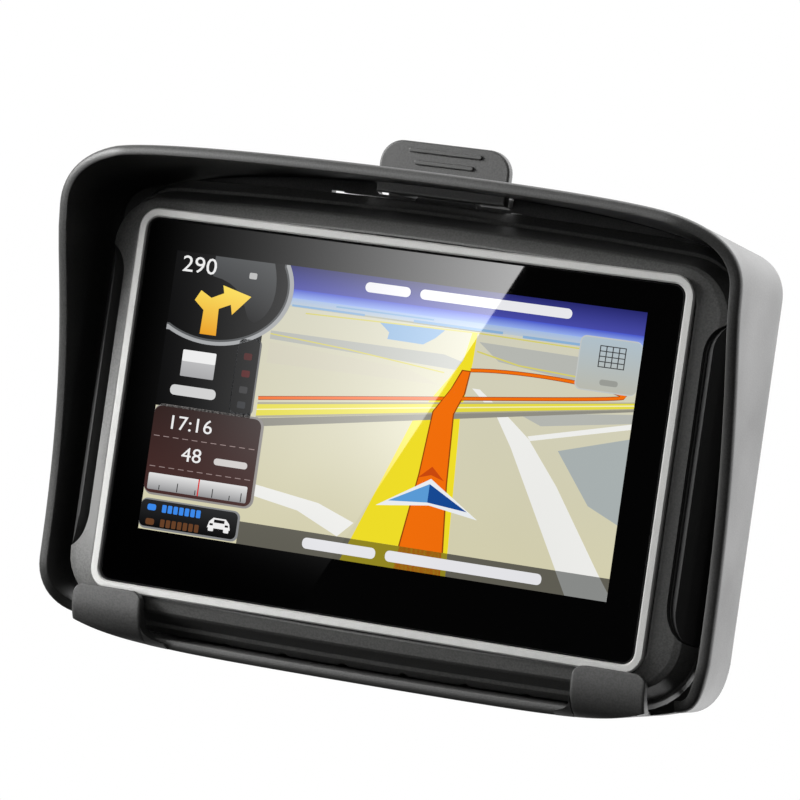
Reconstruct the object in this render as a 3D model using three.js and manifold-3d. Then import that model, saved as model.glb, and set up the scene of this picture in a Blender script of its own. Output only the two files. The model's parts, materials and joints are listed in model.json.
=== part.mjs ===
// Portable GPS navigator seated in its cradle, with a sun hood.
// Millimetres, +Z up, the screen faces -Y. The origin is the middle of the cradle's rear mounting face.
import * as THREE from "three";
import { mergeVertices } from "three/addons/utils/BufferGeometryUtils.js";
import Module from "manifold-3d";

const wasm = await Module();
wasm.setup();

// ---- driving dimensions ----
// Depths (y) are counted backwards from the plane of the cover glass, as is every y below.
const mountDepth = 34; // glass plane to rear mounting face
const gap = 0.3; // between pieces that touch

// outlines about the middle of the front: half width, top, bottom, corner radius
const ring = { w: 56.5, top: 37.2, bottom: -37.2, r: 4.2, lip: 1.75, front: -0.5, back: 1.4 };
const glass = { w: 54.4, top: 35.2, bottom: -35.2, r: 2.2, back: 1.2 };
const lcd = { w: 52.2, top: 33.2, bottom: -33.2, r: 0.6, front: 1.6, back: 3.9 };
const tray = { front: 4.2, back: 6.2, sheet: 0.6 };
const board = { front: 8, back: 9.2, w: 57, top: 37.5, bottom: -37.5 };

// sections of the unit's body, front to back: [y, half width, top, bottom, corner radius]
const frontSkin = [
  [0.6, 57.2, 37.9, -37.9, 4.9],
  [1.9, 61.2, 40.2, -40.3, 8.5],
  [2.6, 62.6, 40.7, -40.8, 9.2],
  [8.3, 64.2, 42.6, -42.8, 11],
  [8.6, 64.3, 43.3, -43.6, 11.4],
  [9.1, 64.35, 43.6, -43.9, 11.6],
  [11.4, 64.6, 45.1, -45, 13],
];
const rearSkin = [
  [11.7, 64.6, 45.1, -45, 13],
  [13, 62.2, 44.7, -44.9, 12],
  [16, 57.3, 44.5, -44.6, 9],
  [21.2, 56.4, 43.7, -43.8, 8.5],
  [22, 55.6, 42.9, -42.9, 8],
];
// the body's top falls away, and its bottom rises, by these times x squared
const crown = 0.0005;
const crownLow = 0.00025;
const frontCavity = [
  [3.6, 57.4, 38.4, -38.2, 6],
  [6.4, 60.2, 40, -39.8, 8],
  [12, 61.4, 42.6, -41.8, 10],
];
const rearCavity = [
  [11, 61.4, 42.2, -41.8, 10],
  [13.4, 58.6, 41.2, -41.6, 9],
  [16, 55.2, 41.2, -41.4, 8],
  [20.2, 54.4, 41, -41, 7],
];
const seal = { from: 1.1, to: 1.9, front: 10.8, back: 12.3 };
const grip = { edge: 59.1, top: 23.5, bottom: -23, rise: 6.5, drop: 7.9, deep: 1.5, inset: 1.8, foot: 3 };
// the grip's own outer surface, proud of the body near its inner edge: [y, half width]
const gripSkin = [[0.8, 61.1], [3, 62.6], [6, 63.9], [9.6, 64.3]];

const caseScrew = { x: 50, z: 37.5, shank: 0.9, head: 2, tip: 6, seat: 20.9, boss: 2.8, split: 11.4 };
const battery = { x: -3, z: 0, w: 46, h: 50, front: 10.6, back: 15.6, r: 3 };
const antenna = { x: 35, z: 21, side: 25, front: 12.2, back: 16.6 };
const speaker = { x: -41, z: 8, r: 10, front: 15.6, back: 19.8, slot: 1.6, pitch: 3.4 };
const ports = { left: 27, right: 51, z: -28, h: 10, usbX: 33, cardX: 44.2, front: 12.4, back: 20.5 };
const cover = { front: 20.9, back: 22.2, ridge: 0.5, grips: [45, 46.8, 48.6] };
const button = { x: -36, y: 19, w: 9, d: 3.4, bottom: 39.9, top: 45.4, flange: 0.9, nub: 38.3 };
const contacts = { pitch: 6, count: 4, z: -30, padW: 3, padH: 5, padFront: 19.5, padBack: 21.4 };
const contactPin = { r: 0.75, tip: 0.4, front: 21.8, shoulder: 22.3, back: 26.2, bore: 1.1, boreEnd: 26.9 };
const catchPocket = { half: 6.8, front: 13.7, back: 17.8, floor: 42.4 };

const plate = { w: 63.5, top: 42, bottom: -46.4, r: 10, front: 22.5, back: 25.2, rib: 2, ribWide: 2.4 };
const portWindow = { x: 38.5, w: 35, h: 18, r: 3 };
const boss = { half: 24, r: 4 };
const holes = { x: 15, z: 19, insert: 2.9, bore: 1.65, front: 26.5 };
const rail = { half: 59.4, top: -45.3, front: 3.2, sag: -47.4, edge: -43.3 };
const hook = { inner: 43.9, outer: 58.5, top: -36.6, r: 2.4 };
const drain = { pitch: 12.5, count: 6, r: 1.05, z: -45.45, front: 9.4, back: 14 };
const inlet = { x: -36, y: 28.9, bottom: -43.4, top: -32, r: 3.9, bore: 2.75, core: 0.65, deep: 8.8 };
const inletHousing = { z: -37.4, w: 11.6, h: 13.6, r: 1.5 };

const visor = { thick: 2.2, back: 15.6, brim: -17.4, lip: 13.4, lipW: 63, lipTop: 45.1, lipR: 13 };
const visorNotch = { half: 13.9, front: 9.6, floor: 45.75 };
// shallow reliefs under the hood's lip: [from x, to x, height]
const lipReliefs = [[-23.4, -20.8, 0.6], [-21, -8, 0.3], [13.8, 16, 0.3]];
const visorScrew = { x: 60.8, z: 22, shank: 1.2, head: 2.6, tip: 17.6, seat: 27.5, top: 29 };
const bracket = { front: 16.6, back: 22.2, half: 3.6, inner: 2.6, wall: 63.4 };

const pin = { y: 24.6, z: 47.3, r: 1, half: 15 };
const latch = { w: 13.3, top: 56.5, r: 4.5, front: 10.5, thick: 2.4, armW: 11, floor: 46.1, arm: 2.2 };
const barrel = { r: 2.7, half: 11.3, gapHalf: 4.6, ear: 3.4 };
const springWire = { r: 0.25, coil: 1.9, turns: 5, half: 3.6, leg: 7, tail: 4 };

// ---- materials ----
const paint = (colour, roughness, metalness = 0) =>
  new THREE.MeshStandardMaterial({ color: colour, roughness, metalness });
const plastic = paint(0x3b3c3c, 0.62);
const hoodPlastic = paint(0x2b2c2c, 0.55);
const silver = paint(0xb9bbbb, 0.35, 0.4);
const blackGlass = paint(0x050506, 0.06);
const display = paint(0xcfcfc4, 0.4);
const softRubber = paint(0x1c1d1e, 0.75);
const steel = paint(0x9b9da0, 0.32, 0.9);
const brass = paint(0xc9a557, 0.3, 0.95);
const gold = paint(0xd9b45a, 0.25, 1);
const circuit = paint(0x14532d, 0.5);
const foil = paint(0x8f9499, 0.4, 0.2);
const ceramic = paint(0xc8b79a, 0.55);
const blackPlastic = paint(0x191919, 0.5);

// ---- shape helpers ----
function solid(geometry) {
  const loose = geometry.index ? geometry.toNonIndexed() : geometry;
  const bare = new THREE.BufferGeometry();
  bare.setAttribute("position", loose.getAttribute("position"));
  const merged = mergeVertices(bare, 1e-4);
  const vertProperties = merged.attributes.position.array;
  const triVerts = new Uint32Array(merged.index.array);
  return new wasm.Manifold(new wasm.Mesh({ numProp: 3, vertProperties, triVerts }));
}

function piece(name, body, material) {
  const made = body.getMesh();
  const geometry = new THREE.BufferGeometry();
  geometry.setAttribute("position", new THREE.BufferAttribute(new Float32Array(made.vertProperties), 3));
  geometry.setIndex(new THREE.BufferAttribute(new Uint32Array(made.triVerts), 1));
  geometry.computeVertexNormals();
  const mesh = new THREE.Mesh(geometry, material);
  mesh.name = name;
  return mesh;
}

const join = (first, ...others) => others.reduce((sum, one) => sum.add(one), first);
const cut = (first, ...others) => others.reduce((rest, one) => rest.subtract(one), first);

function box(x0, x1, y0, y1, z0, z1) {
  const geometry = new THREE.BoxGeometry(x1 - x0, y1 - y0, z1 - z0);
  return solid(geometry.translate((x0 + x1) / 2, (y0 + y1) / 2, (z0 + z1) / 2));
}

// a round bar along y, x or z
function barY(x, z, r, y0, y1, sides = 16) {
  return solid(new THREE.CylinderGeometry(r, r, y1 - y0, sides).translate(x, (y0 + y1) / 2, z));
}
function barX(y, z, r, x0, x1, sides = 20) {
  const geometry = new THREE.CylinderGeometry(r, r, x1 - x0, sides).rotateZ(Math.PI / 2);
  return solid(geometry.translate((x0 + x1) / 2, y, z));
}

// a closed outline in (x, z), counter-clockwise seen from the front
function roundOutline(w, top, bottom, r, steps = 6) {
  const corners = [
    [w - r, top - r, 0],
    [-w + r, top - r, 1],
    [-w + r, bottom + r, 2],
    [w - r, bottom + r, 3],
  ];
  return corners.flatMap(([x, z, quarter]) =>
    Array.from({ length: steps + 1 }, (_, i) => {
      const angle = (quarter + i / steps) * (Math.PI / 2);
      return [x + r * Math.cos(angle), z + r * Math.sin(angle)];
    }),
  );
}

// a solid through outlines of equal point count, given front to back as [y, outline]
function loft(sections) {
  const count = sections[0][1].length;
  const positions = sections.flatMap(([y, outline]) => outline.flatMap(([x, z]) => [x, y, z]));
  const index = [];
  for (let s = 0; s + 1 < sections.length; s++) {
    for (let i = 0; i < count; i++) {
      const a = s * count + i;
      const b = s * count + ((i + 1) % count);
      index.push(a, a + count, b + count, a, b + count, b);
    }
  }
  const cap = (outline) =>
    THREE.ShapeUtils.triangulateShape(outline.map(([x, z]) => new THREE.Vector2(x, z)), []);
  const last = (sections.length - 1) * count;
  cap(sections[0][1]).forEach(([a, b, c]) => index.push(a, b, c));
  cap(sections.at(-1)[1]).forEach(([a, b, c]) => index.push(last + a, last + c, last + b));
  const geometry = new THREE.BufferGeometry();
  geometry.setAttribute("position", new THREE.Float32BufferAttribute(positions, 3));
  geometry.setIndex(index);
  return solid(geometry);
}

const slab = (outline, y0, y1) => loft([[y0, outline], [y1, outline]]);
// splits the level top and bottom edges and bends them to the crown
function crowned(outline) {
  const parts = 6;
  const split = outline.flatMap(([x, z], i) => {
    const [nextX, nextZ] = outline[(i + 1) % outline.length];
    const level = Math.abs(nextZ - z) < 1e-6;
    return Array.from({ length: level ? parts : 1 }, (_, k) => [x + ((nextX - x) * k) / parts, z]);
  });
  return split.map(([x, z]) => [x, z > 0 ? z - crown * x * x : z + crownLow * x * x]);
}
const section = ([y, w, top, bottom, r]) => [y, crowned(roundOutline(w, top, bottom, r))];
const skin = (rows) => loft(rows.map(section));
const roundBox = (x, z, w, h, r, y0, y1) =>
  slab(roundOutline(w / 2, h / 2, -h / 2, r, 3).map(([u, v]) => [u + x, v + z]), y0, y1);

// a profile in (y, z) carried along x
function alongX(profile, x0, x1) {
  const shape = new THREE.Shape(profile.map(([y, z]) => new THREE.Vector2(y, z)));
  const geometry = new THREE.ExtrudeGeometry(shape, { depth: x1 - x0, bevelEnabled: false });
  const turn = new THREE.Matrix4().set(0, 0, 1, x0, 1, 0, 0, 0, 0, 1, 0, 0, 0, 0, 0, 1);
  return solid(geometry.applyMatrix4(turn));
}

const mirrorPoints = (points) => points.map(([x, z]) => [-x, z]).reverse();
const mirrored = (body) => body.mirror([1, 0, 0]);
const bothSides = (body) => body.add(mirrored(body));

// points on a Bezier curve, without its last point
function bezier(points, steps) {
  const vectors = points.map(([x, z]) => new THREE.Vector2(x, z));
  const Curve = points.length === 4 ? THREE.CubicBezierCurve : THREE.QuadraticBezierCurve;
  const curve = new Curve(...vectors);
  return curve.getPoints(steps).slice(0, -1).map((p) => [p.x, p.y]);
}

// ---- the unit's shells ----
function screwPlaces() {
  return [1, -1].flatMap((u) => [1, -1].map((v) => [u * caseScrew.x, v * caseScrew.z]));
}

function sealRing(from, to, y0, y1) {
  const [, w, top, bottom, r] = frontSkin.at(-1);
  const edge = (inset) => crowned(roundOutline(w - inset, top - inset, bottom + inset, r - inset));
  return cut(slab(edge(from), y0, y1), slab(edge(to), y0 - 1, y1 + 1));
}

// the D-shaped outline at one end of the body, seen from the front, moved inwards
function gripOutline(inset) {
  const x = grip.edge + inset;
  const { top, bottom, rise, drop } = grip;
  const out = frontSkin.at(-1)[1] + 3;
  const corner = (z, away, full) => [
    [x, z],
    [x + 0.2, z + away * (0.54 * full - 0.3 * inset)],
    [x + 1.9 - 0.2 * inset, z + away * (0.88 * full - 0.8 * inset)],
    [65, z + away * (full - inset)],
  ];
  const end = (z, away, full) => [65, z + away * (full - inset)];
  const upper = bezier(corner(top, 1, rise), 6);
  const lower = bezier(corner(bottom, -1, drop), 6);
  const [, endTop] = end(top, 1, rise);
  const [, endBottom] = end(bottom, -1, drop);
  return [
    ...lower,
    [65, endBottom],
    [out, endBottom - 0.5],
    [out, endTop + 0.3],
    [65, endTop],
    ...upper.reverse(),
  ];
}

const gripEnd = seal.front - 1.2;

function bodyInset(inset) {
  return skin(frontSkin.map(([y, w, top, bottom, r]) => [y + inset, w - inset, top, bottom, r]));
}

function makeGrip() {
  const pad = loft([
    [gripSkin[0][0], gripOutline(grip.inset)],
    [grip.foot, gripOutline(gap)],
    [gripEnd - gap, gripOutline(gap)],
  ]);
  const outside = skin(gripSkin.map(([y, w]) => [y, w, 40, -40, 9]));
  return cut(pad.intersect(outside), bodyInset(grip.deep - gap));
}

// short vertical channels in the body's lower edge
function drainNotches() {
  const first = (-drain.pitch * (drain.count - 1)) / 2;
  const places = Array.from({ length: drain.count }, (_, i) => first + i * drain.pitch);
  return join(...places.map((x) => barY(x, drain.z, drain.r, drain.front, drain.back, 16)));
}

function makeFrontHousing() {
  const recess = cut(slab(gripOutline(0), -1, gripEnd), bodyInset(grip.deep));
  const seat = slab(roundOutline(ring.w + gap, ring.top + gap, ring.bottom - gap, ring.r + gap), -1, 1.7);
  const opening = slab(roundOutline(lcd.w + 0.5, lcd.top + 0.6, lcd.bottom - 0.6, 1), -1, 8);
  const shell = cut(skin(frontSkin), seat, opening, skin(frontCavity), bothSides(recess), drainNotches());
  const grooved = cut(shell, sealRing(seal.from - gap, seal.to + gap, seal.front - gap, 12));
  return screwPlaces().reduce((body, [x, z]) => {
    const post = barY(x, z, caseScrew.boss, 3, caseScrew.split, 12);
    return cut(body.add(post), barY(x, z, caseScrew.shank + gap, caseScrew.tip - 1, 16, 10));
  }, grooved);
}

function makeRearHousing() {
  let body = cut(skin(rearSkin), skin(rearCavity), drainNotches());
  body = cut(body, sealRing(seal.from - gap, seal.to + gap, 11, seal.back + gap));
  for (const [x, z] of screwPlaces()) {
    body = body.add(barY(x, z, caseScrew.boss, caseScrew.split + gap, 21, 12));
    body = cut(body, barY(x, z, caseScrew.shank + gap, 11, 23, 10));
    body = cut(body, barY(x, z, caseScrew.head + gap, caseScrew.seat - gap, 23, 14));
  }
  const middle = (ports.left + ports.right) / 2;
  const wide = ports.right - ports.left;
  body = cut(
    body,
    roundBox(middle, ports.z, wide + 1, ports.h + 1, 1, cover.front - gap, 23),
    box(ports.usbX - 4.1, ports.usbX + 4.1, 19, 23, ports.z - 1.7, ports.z + 1.7),
    box(ports.cardX - 6.4, ports.cardX + 6.4, 19, 23, ports.z - 1.5, ports.z + 1.5),
    box(-catchPocket.half, catchPocket.half, catchPocket.front, catchPocket.back, catchPocket.floor, 47),
    box(button.x - 4.8, button.x + 4.8, button.y - 2, button.y + 2, 39, 47),
  );
  for (const x of contactPlaces()) {
    body = cut(body, box(x - 1.8, x + 1.8, 19, 23, contacts.z - 2.8, contacts.z + 2.8));
  }
  for (const row of [-2, -1, 0, 1, 2]) {
    const half = Math.sqrt(speaker.r ** 2 - (row * speaker.pitch) ** 2) - 2;
    const z = speaker.z + row * speaker.pitch;
    body = cut(body, roundBox(speaker.x, z, 2 * half, speaker.slot, 0.7, 19, 23));
  }
  return body.add(box(button.x - 4, button.x + 4, 16, 20.4, 32.4, 34));
}

function contactPlaces() {
  const first = (-contacts.pitch * (contacts.count - 1)) / 2;
  return Array.from({ length: contacts.count }, (_, i) => first + i * contacts.pitch);
}

// ---- the unit's front parts ----
function makeRing() {
  const outline = (inset, r) => roundOutline(ring.w - inset, ring.top - inset, ring.bottom + inset, r);
  const outer = loft([
    [ring.front, outline(0.5, ring.r - 0.4)],
    [ring.front + 0.5, outline(0, ring.r)],
    [ring.back, outline(0, ring.r)],
  ]);
  return cut(outer, slab(outline(ring.lip, ring.r - ring.lip), -2, 3));
}

const panel = ({ w, top, bottom, r, back }, front, steps) =>
  slab(roundOutline(w, top, bottom, r, steps), front, back);

function makeTray() {
  const outline = (inset) => roundOutline(lcd.w - inset, lcd.top - inset, lcd.bottom + inset, 1, 3);
  return cut(slab(outline(0), tray.front, tray.back), slab(outline(0.8), tray.front + tray.sheet, 8));
}

function makeBoard() {
  let body = roundBox(0, 0, 2 * board.w, board.top - board.bottom, 4, board.front, board.back);
  for (const [x, z] of screwPlaces()) {
    body = cut(body, barY(x, z, caseScrew.boss + 0.6, 7, 10, 12));
  }
  return join(
    body,
    box(-48, -30, board.front - 1.2, board.front + 0.2, -26, -8),
    box(-26, -14, board.front - 1, board.front + 0.2, -30, -16),
    box(26, 46, board.front - 1.3, board.front + 0.2, -6, 14),
    box(24, 46, board.back - 0.2, 11.9, 10, 32),
    box(ports.left + 1, ports.right - 1, board.back - 0.2, 12, ports.z - 4, ports.z + 4),
  );
}

function makeSpeaker() {
  const profile = [
    [0, speaker.front],
    [5, speaker.front],
    [5, 17.2],
    [8.4, 18],
    [speaker.r - 0.5, 18],
    [speaker.r - 0.5, speaker.back],
    [7.6, speaker.back],
    [6.6, 18.9],
    [3, 18.7],
    [0, 19.3],
  ];
  const geometry = new THREE.LatheGeometry(profile.map(([r, y]) => new THREE.Vector2(r, y)), 20);
  return solid(geometry.translate(speaker.x, 0, speaker.z));
}

function makeUsbSocket() {
  const { usbX: x, z, front, back } = ports;
  const shell = box(x - 3.8, x + 3.8, front, back, z - 1.4, z + 1.4);
  const mouth = box(x - 3.4, x + 3.4, 15, 21, z - 1, z + 1);
  const tongue = box(x - 2.4, x + 2.4, 14, back - 0.9, z - 0.2, z + 0.5);
  return cut(shell, mouth).add(tongue);
}

function makeCardSocket() {
  const x0 = ports.cardX - 6;
  const x1 = ports.cardX + 6;
  const shell = box(x0, x1, ports.front, ports.back, ports.z - 1.2, ports.z + 1.2);
  return cut(shell, box(x0 + 0.6, x1 - 0.6, 13.4, 21, ports.z - 0.6, ports.z + 0.6));
}

function makePowerButton() {
  const { x, y, w, d } = button;
  const cap = box(x - w / 2, x + w / 2, y - d / 2, y + d / 2, button.bottom - 0.2, button.top);
  const reach = w / 2 + 1;
  const flange = box(x - reach, x + reach, y - 2.1, y + 1, button.bottom - button.flange, button.bottom);
  return cap.add(flange);
}

function makePowerSwitch() {
  const { x } = button;
  const nub = box(x - 1.4, x + 1.4, button.y - 2, button.y, 37.4, button.nub);
  return box(x - 3, x + 3, 16.4, 19.8, 34.3, 37.5).add(nub);
}

function makePortCover() {
  const middle = (ports.left + ports.right) / 2;
  const wide = ports.right - ports.left;
  const flap = roundBox(middle, ports.z, wide, ports.h, 0.8, cover.front, cover.back);
  const ridge = (x) => box(x, x + 0.8, cover.back - 0.1, cover.back + cover.ridge, ports.z - 3, ports.z + 3);
  return join(flap, ...cover.grips.map(ridge));
}

function makeCaseScrew(x, z) {
  const drive = barY(x, z, 0.9, caseScrew.seat + 0.4, 23, 6);
  const head = barY(x, z, caseScrew.head, caseScrew.seat, 22, 16);
  return cut(barY(x, z, caseScrew.shank, caseScrew.tip, caseScrew.seat + 0.2, 10).add(head), drive);
}

// ---- the cradle ----
// lower edge of the rail and hooks: a shallow arch that turns up at the ends
function railEdge(x) {
  const share = Math.abs(x) / rail.half;
  return rail.sag + (rail.edge - rail.sag) * (0.12 * share ** 2 + 0.88 * share ** 7);
}

function railOutline(x0, x1, top, steps) {
  const lower = Array.from({ length: steps + 1 }, (_, i) => x0 + ((x1 - x0) * i) / steps);
  return [...lower.map((x) => [x, railEdge(x)]), [x1, top], [x0, top]];
}

function makeHook() {
  const outside = bezier([[-2.9, -38.6], [-3, -43.6], [0.6, -46.8], [9, -48]], 8);
  const inside = bezier([[9, -45.5], [2.6, -44.6], [-0.7, -42.2], [-0.9, -37.6]], 7);
  const wrap = [[-2.8, hook.top], ...outside, [9, -48], [12, -48], [12, -45.5], ...inside, [-0.9, hook.top]];
  const { inner, outer, top, r } = hook;
  const edge = Array.from({ length: 9 }, (_, i) => inner - 4 + ((outer - inner + 4) * i) / 8);
  const outline = [
    ...edge.map((x) => [x, railEdge(x)]),
    ...bezier([[outer, top - r], [outer, top], [outer - r, top]], 4),
    ...bezier([[inner + r, top], [inner, top], [inner, top - r]], 4),
    [inner, top - r],
    ...bezier([[inner, -42.9], [inner, -45.3], [inner - 4, -45.9]], 4),
  ];
  return alongX(wrap, inner - 4, outer).intersect(slab(outline, -6, 14));
}

// the rail's top follows the unit's lower edge
function railBlank() {
  const steps = 16;
  const xs = Array.from({ length: steps + 1 }, (_, i) => rail.half - (2 * rail.half * i) / steps);
  const lower = [...xs].reverse().map((x) => [x, -50]);
  return slab([...lower, ...xs.map((x) => [x, rail.top + crownLow * x * x])], 0, 30);
}

function makeRail() {
  const below = [[plate.back, -49], [7, -49], [5, -48.2], [3.7, -47.5], [rail.front, -46.8]];
  const nose = [[plate.back, -44], ...below, [rail.front, -44]];
  const arch = slab(railOutline(-rail.half, rail.half, -40, 20), 0, 30);
  return alongX(nose, -rail.half, rail.half).intersect(arch).intersect(railBlank());
}

function makeEar() {
  const near = barrel.half + gap;
  const web = box(near, near + barrel.ear, plate.front, 26.8, 40, pin.z);
  const eye = barX(pin.y, pin.z, 3, near, near + barrel.ear);
  return cut(web.add(eye), barX(pin.y, pin.z, pin.r + gap, 10, 20));
}

function makeCradle() {
  const outline = (inset) =>
    roundOutline(plate.w - inset, plate.top - inset, plate.bottom + inset, plate.r - inset, 5);
  const bottom = box(-70, 70, 0, 40, -60, plate.bottom + 2);
  const belly = slab(railOutline(-rail.half, rail.half, -30, 20), plate.front, plate.back + plate.rib);
  const sheet = slab(outline(0), plate.front, plate.back);
  const band = slab(outline(0), plate.back - 0.1, plate.back + plate.rib);
  const rim = cut(band, slab(outline(plate.ribWide), 20, 40));
  let body = join(cut(sheet.add(rim), bottom), belly.intersect(bottom), makeRail(), bothSides(makeHook()));
  const { z: low, w: wide, h: high, r: round } = inletHousing;
  body = join(
    body,
    roundBox(0, 0, 2 * boss.half, 2 * boss.half, boss.r, plate.back - 0.1, mountDepth),
    roundBox(inlet.x, low, wide, high, round, plate.back - 0.1, mountDepth),
    bothSides(makeEar()),
  );
  const sockets = roundBox(portWindow.x, ports.z, portWindow.w, portWindow.h, portWindow.r, 20, 40);
  const listen = barY(speaker.x, speaker.z, speaker.r + 1, 20, 40, 24);
  const contactHole = box(-13.3, 13.3, 20, 40, contacts.z - 5.3, contacts.z + 4.6);
  const inletHole = new THREE.CylinderGeometry(inlet.r + gap, inlet.r + gap, 14, 16).rotateX(Math.PI / 2);
  inletHole.translate(inlet.x, inlet.y, inlet.bottom + 5.4);
  body = cut(body, sockets, listen, contactHole, solid(inletHole));
  for (const [u, v] of [[1, 1], [1, -1], [-1, 1], [-1, -1]]) {
    body = cut(body, barY(u * holes.x, v * holes.z, holes.insert + gap, holes.front - gap, 40, 16));
    body = cut(body, barY(u * visorScrew.x, v * visorScrew.z, visorScrew.shank + gap, 20, 40, 10));
  }
  return body;
}

function makeInsert(x, z) {
  const body = barY(x, z, holes.insert, holes.front, mountDepth - 0.1, 16);
  return cut(body, barY(x, z, holes.bore, holes.front - 1, mountDepth + 1, 12));
}

function makeInlet() {
  const { r, bore, core, bottom, top, deep } = inlet;
  const end = bottom + deep;
  const socket = [[bore, bottom], [bore, end], [core, end], [core, bottom + 1], [0, bottom + 1]];
  const profile = [[0, top], [r, top], [r, bottom], ...socket];
  const geometry = new THREE.LatheGeometry(profile.map(([x, z]) => new THREE.Vector2(x, z)).reverse(), 16);
  return solid(geometry.rotateX(Math.PI / 2).translate(inlet.x, inlet.y, 0));
}

function makeContactBlock() {
  const block = box(-13, 13, plate.front, 27.4, contacts.z - 5, contacts.z + 4.3);
  const { bore, boreEnd } = contactPin;
  return contactPlaces().reduce((body, x) => cut(body, barY(x, contacts.z, bore, 20, boreEnd, 12)), block);
}

function makeContactPin(x) {
  const { r, tip, front, shoulder, back } = contactPin;
  const nose = new THREE.CylinderGeometry(r, tip, shoulder + 0.1 - front, 10);
  nose.translate(x, (front + shoulder + 0.1) / 2, contacts.z);
  return solid(nose).add(barY(x, contacts.z, r, shoulder, back, 10));
}

// ---- the sun hood ----
// right half of the hood's outer outline, foot to top centre
function hoodSide(front) {
  const foot = bezier([[61.7, -43.2], [68.2, -42.4], [68.7, -33]], 5);
  const corner = front
    ? bezier([[68.7, 35], [68.7, 42.4], [63, 46.4], [54, 47.8]], 7)
    : bezier([[68.7, 35], [68.7, 39.6], [66, 42.6], [61.6, 43.6]], 7);
  const top = front
    ? bezier([[54, 47.8], [46, 49], [25, 49.4], [0, 49.4]], 6)
    : bezier([[61.6, 43.6], [51, 46.3], [43, 50.4], [0, 50.4]], 6);
  return [...foot, [68.7, -33], ...corner, ...top];
}

// a U-shaped wall outline between the hood's outside and that outline moved inwards
function hoodWall(front, from, to) {
  const right = hoodSide(front);
  const line = [...right, [0, front ? 49.4 : 50.4], ...mirrorPoints(right)];
  const moved = (distance) =>
    line.map(([x, z], i) => {
      const [ax, az] = line[Math.max(i - 1, 0)];
      const [bx, bz] = line[Math.min(i + 1, line.length - 1)];
      const length = Math.hypot(bx - ax, bz - az);
      return [x - (distance * (bz - az)) / length, z + (distance * (bx - ax)) / length];
    });
  return [...moved(from), ...moved(to).reverse()];
}

// everything in front of the hood's swept-back rim
function rimCutter() {
  const foot = bezier([[7.5, -43.4], [2, -40.6], [0.9, -35]], 4);
  const sweep = bezier([[0.9, -35], [1.4, -3], [-5.2, 13], [-10.8, 28]], 8);
  const brim = bezier([[-10.8, 28], [-13.4, 35], [-12, 43], [visor.brim, 47.4]], 6);
  const side = [...foot, ...sweep, ...brim, [visor.brim, 47.4], [visor.brim, 60]];
  return alongX([[-40, 60], [-40, -60], [7.5, -60], ...side].reverse(), -80, 80);
}

function makeVisor() {
  const wall = loft([
    [visor.brim - 1, hoodWall(true, 0, visor.thick)],
    [visor.back, hoodWall(false, 0, visor.thick)],
  ]);
  const lipOuter = slab(roundOutline(68, 49.6, -60, 9), visor.lip, visor.back);
  const reach = slab(hoodWall(false, 0.6, 9), visor.lip, visor.back);
  const lipInner = slab(crowned(roundOutline(visor.lipW, visor.lipTop, -70, visor.lipR)), 0, 40);
  const below = box(-80, 80, 0, 40, -80, -38);
  const lip = cut(lipOuter.intersect(reach), lipInner, below);
  const { x, z } = visorScrew;
  const { front, back, half, inner, wall: flank } = bracket;
  const lug = join(
    box(x - inner, x + half, front, back, z - half, z + half),
    box(flank, x + half, visor.lip, back, z - half, z + half),
  );
  const brackets = bothSides(lug.add(lug.translate([0, 0, -2 * z])));
  const notch = box(-visorNotch.half, visorNotch.half, visorNotch.front, 40, visorNotch.floor, 60);
  const toothSlot = box(-catchPocket.half, catchPocket.half, visorNotch.front, 40, 40, 60);
  const reliefs = lipReliefs.map(([x0, x1, high]) => {
    const edge = visor.lipTop - crown * Math.max(x0 ** 2, x1 ** 2);
    return box(x0, x1, visor.lip - 1, visor.back + 1, edge - 1, edge + high);
  });
  let body = cut(join(cut(wall, rimCutter()), lip, brackets), notch, toothSlot, ...reliefs);
  for (const [u, v] of [[1, 1], [1, -1], [-1, 1], [-1, -1]]) {
    body = cut(body, barY(u * x, v * z, visorScrew.shank + gap, visorScrew.tip - gap, 40, 10));
  }
  return body;
}

function makeVisorScrew(x, z) {
  const { head, shank, tip, seat, top } = visorScrew;
  const body = barY(x, z, head, seat, top, 16).add(barY(x, z, shank, tip, seat + 0.1, 10));
  return cut(body, barY(x, z, 1.1, top - 1, top + 1, 6));
}

// ---- the release latch ----
function makeLatch() {
  const { w, top, r, front, thick, armW, floor, arm } = latch;
  const rounded = roundOutline(w, top, floor, r, 5).slice(0, 12);
  const tab = slab([...rounded, [-w, floor], [w, floor]], front, front + thick);
  const bar = (half, z) => box(-half, half, front - 0.5, front + 0.2, z - 0.45, z + 0.45);
  const plank = box(-armW, armW, front + 0.2, pin.y, floor, floor + arm);
  const rib = alongX([[front + 2, floor + 2], [front + 8, floor + 2], [front + 2, floor + 7]], 8, 9.4);
  const hooked = [[14.2, 44.9], [16.6, 42.8], [17.3, 43.2], [17.3, floor + 0.2], [14.2, floor + 0.2]];
  const tooth = alongX(hooked, -6, 6);
  const knuckle = barX(pin.y, pin.z, barrel.r, -barrel.half, barrel.half);
  const springSlot = box(-barrel.gapHalf, barrel.gapHalf, 20.6, 30, 40, 55);
  const made = join(tab, bar(7.5, 54.8), bar(6.1, 52.5), plank, bothSides(rib), tooth, knuckle);
  return cut(made, springSlot, barX(pin.y, pin.z, pin.r + gap, -20, 20));
}

class TorsionCoil extends THREE.Curve {
  getPoint(t, target = new THREE.Vector3()) {
    const { coil, turns, half, leg, tail } = springWire;
    const arc = 2 * Math.PI * coil * turns;
    const at = t * (leg + arc + tail) - leg;
    const share = THREE.MathUtils.clamp(at / arc, 0, 1);
    const angle = share * (turns + 0.25) * 2 * Math.PI;
    const y = coil * Math.sin(angle) + Math.min(at, 0);
    const z = coil * Math.cos(angle) - Math.max(at - arc, 0);
    return target.set(-half + 2 * half * share, pin.y + y, pin.z + z);
  }
}

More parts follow.
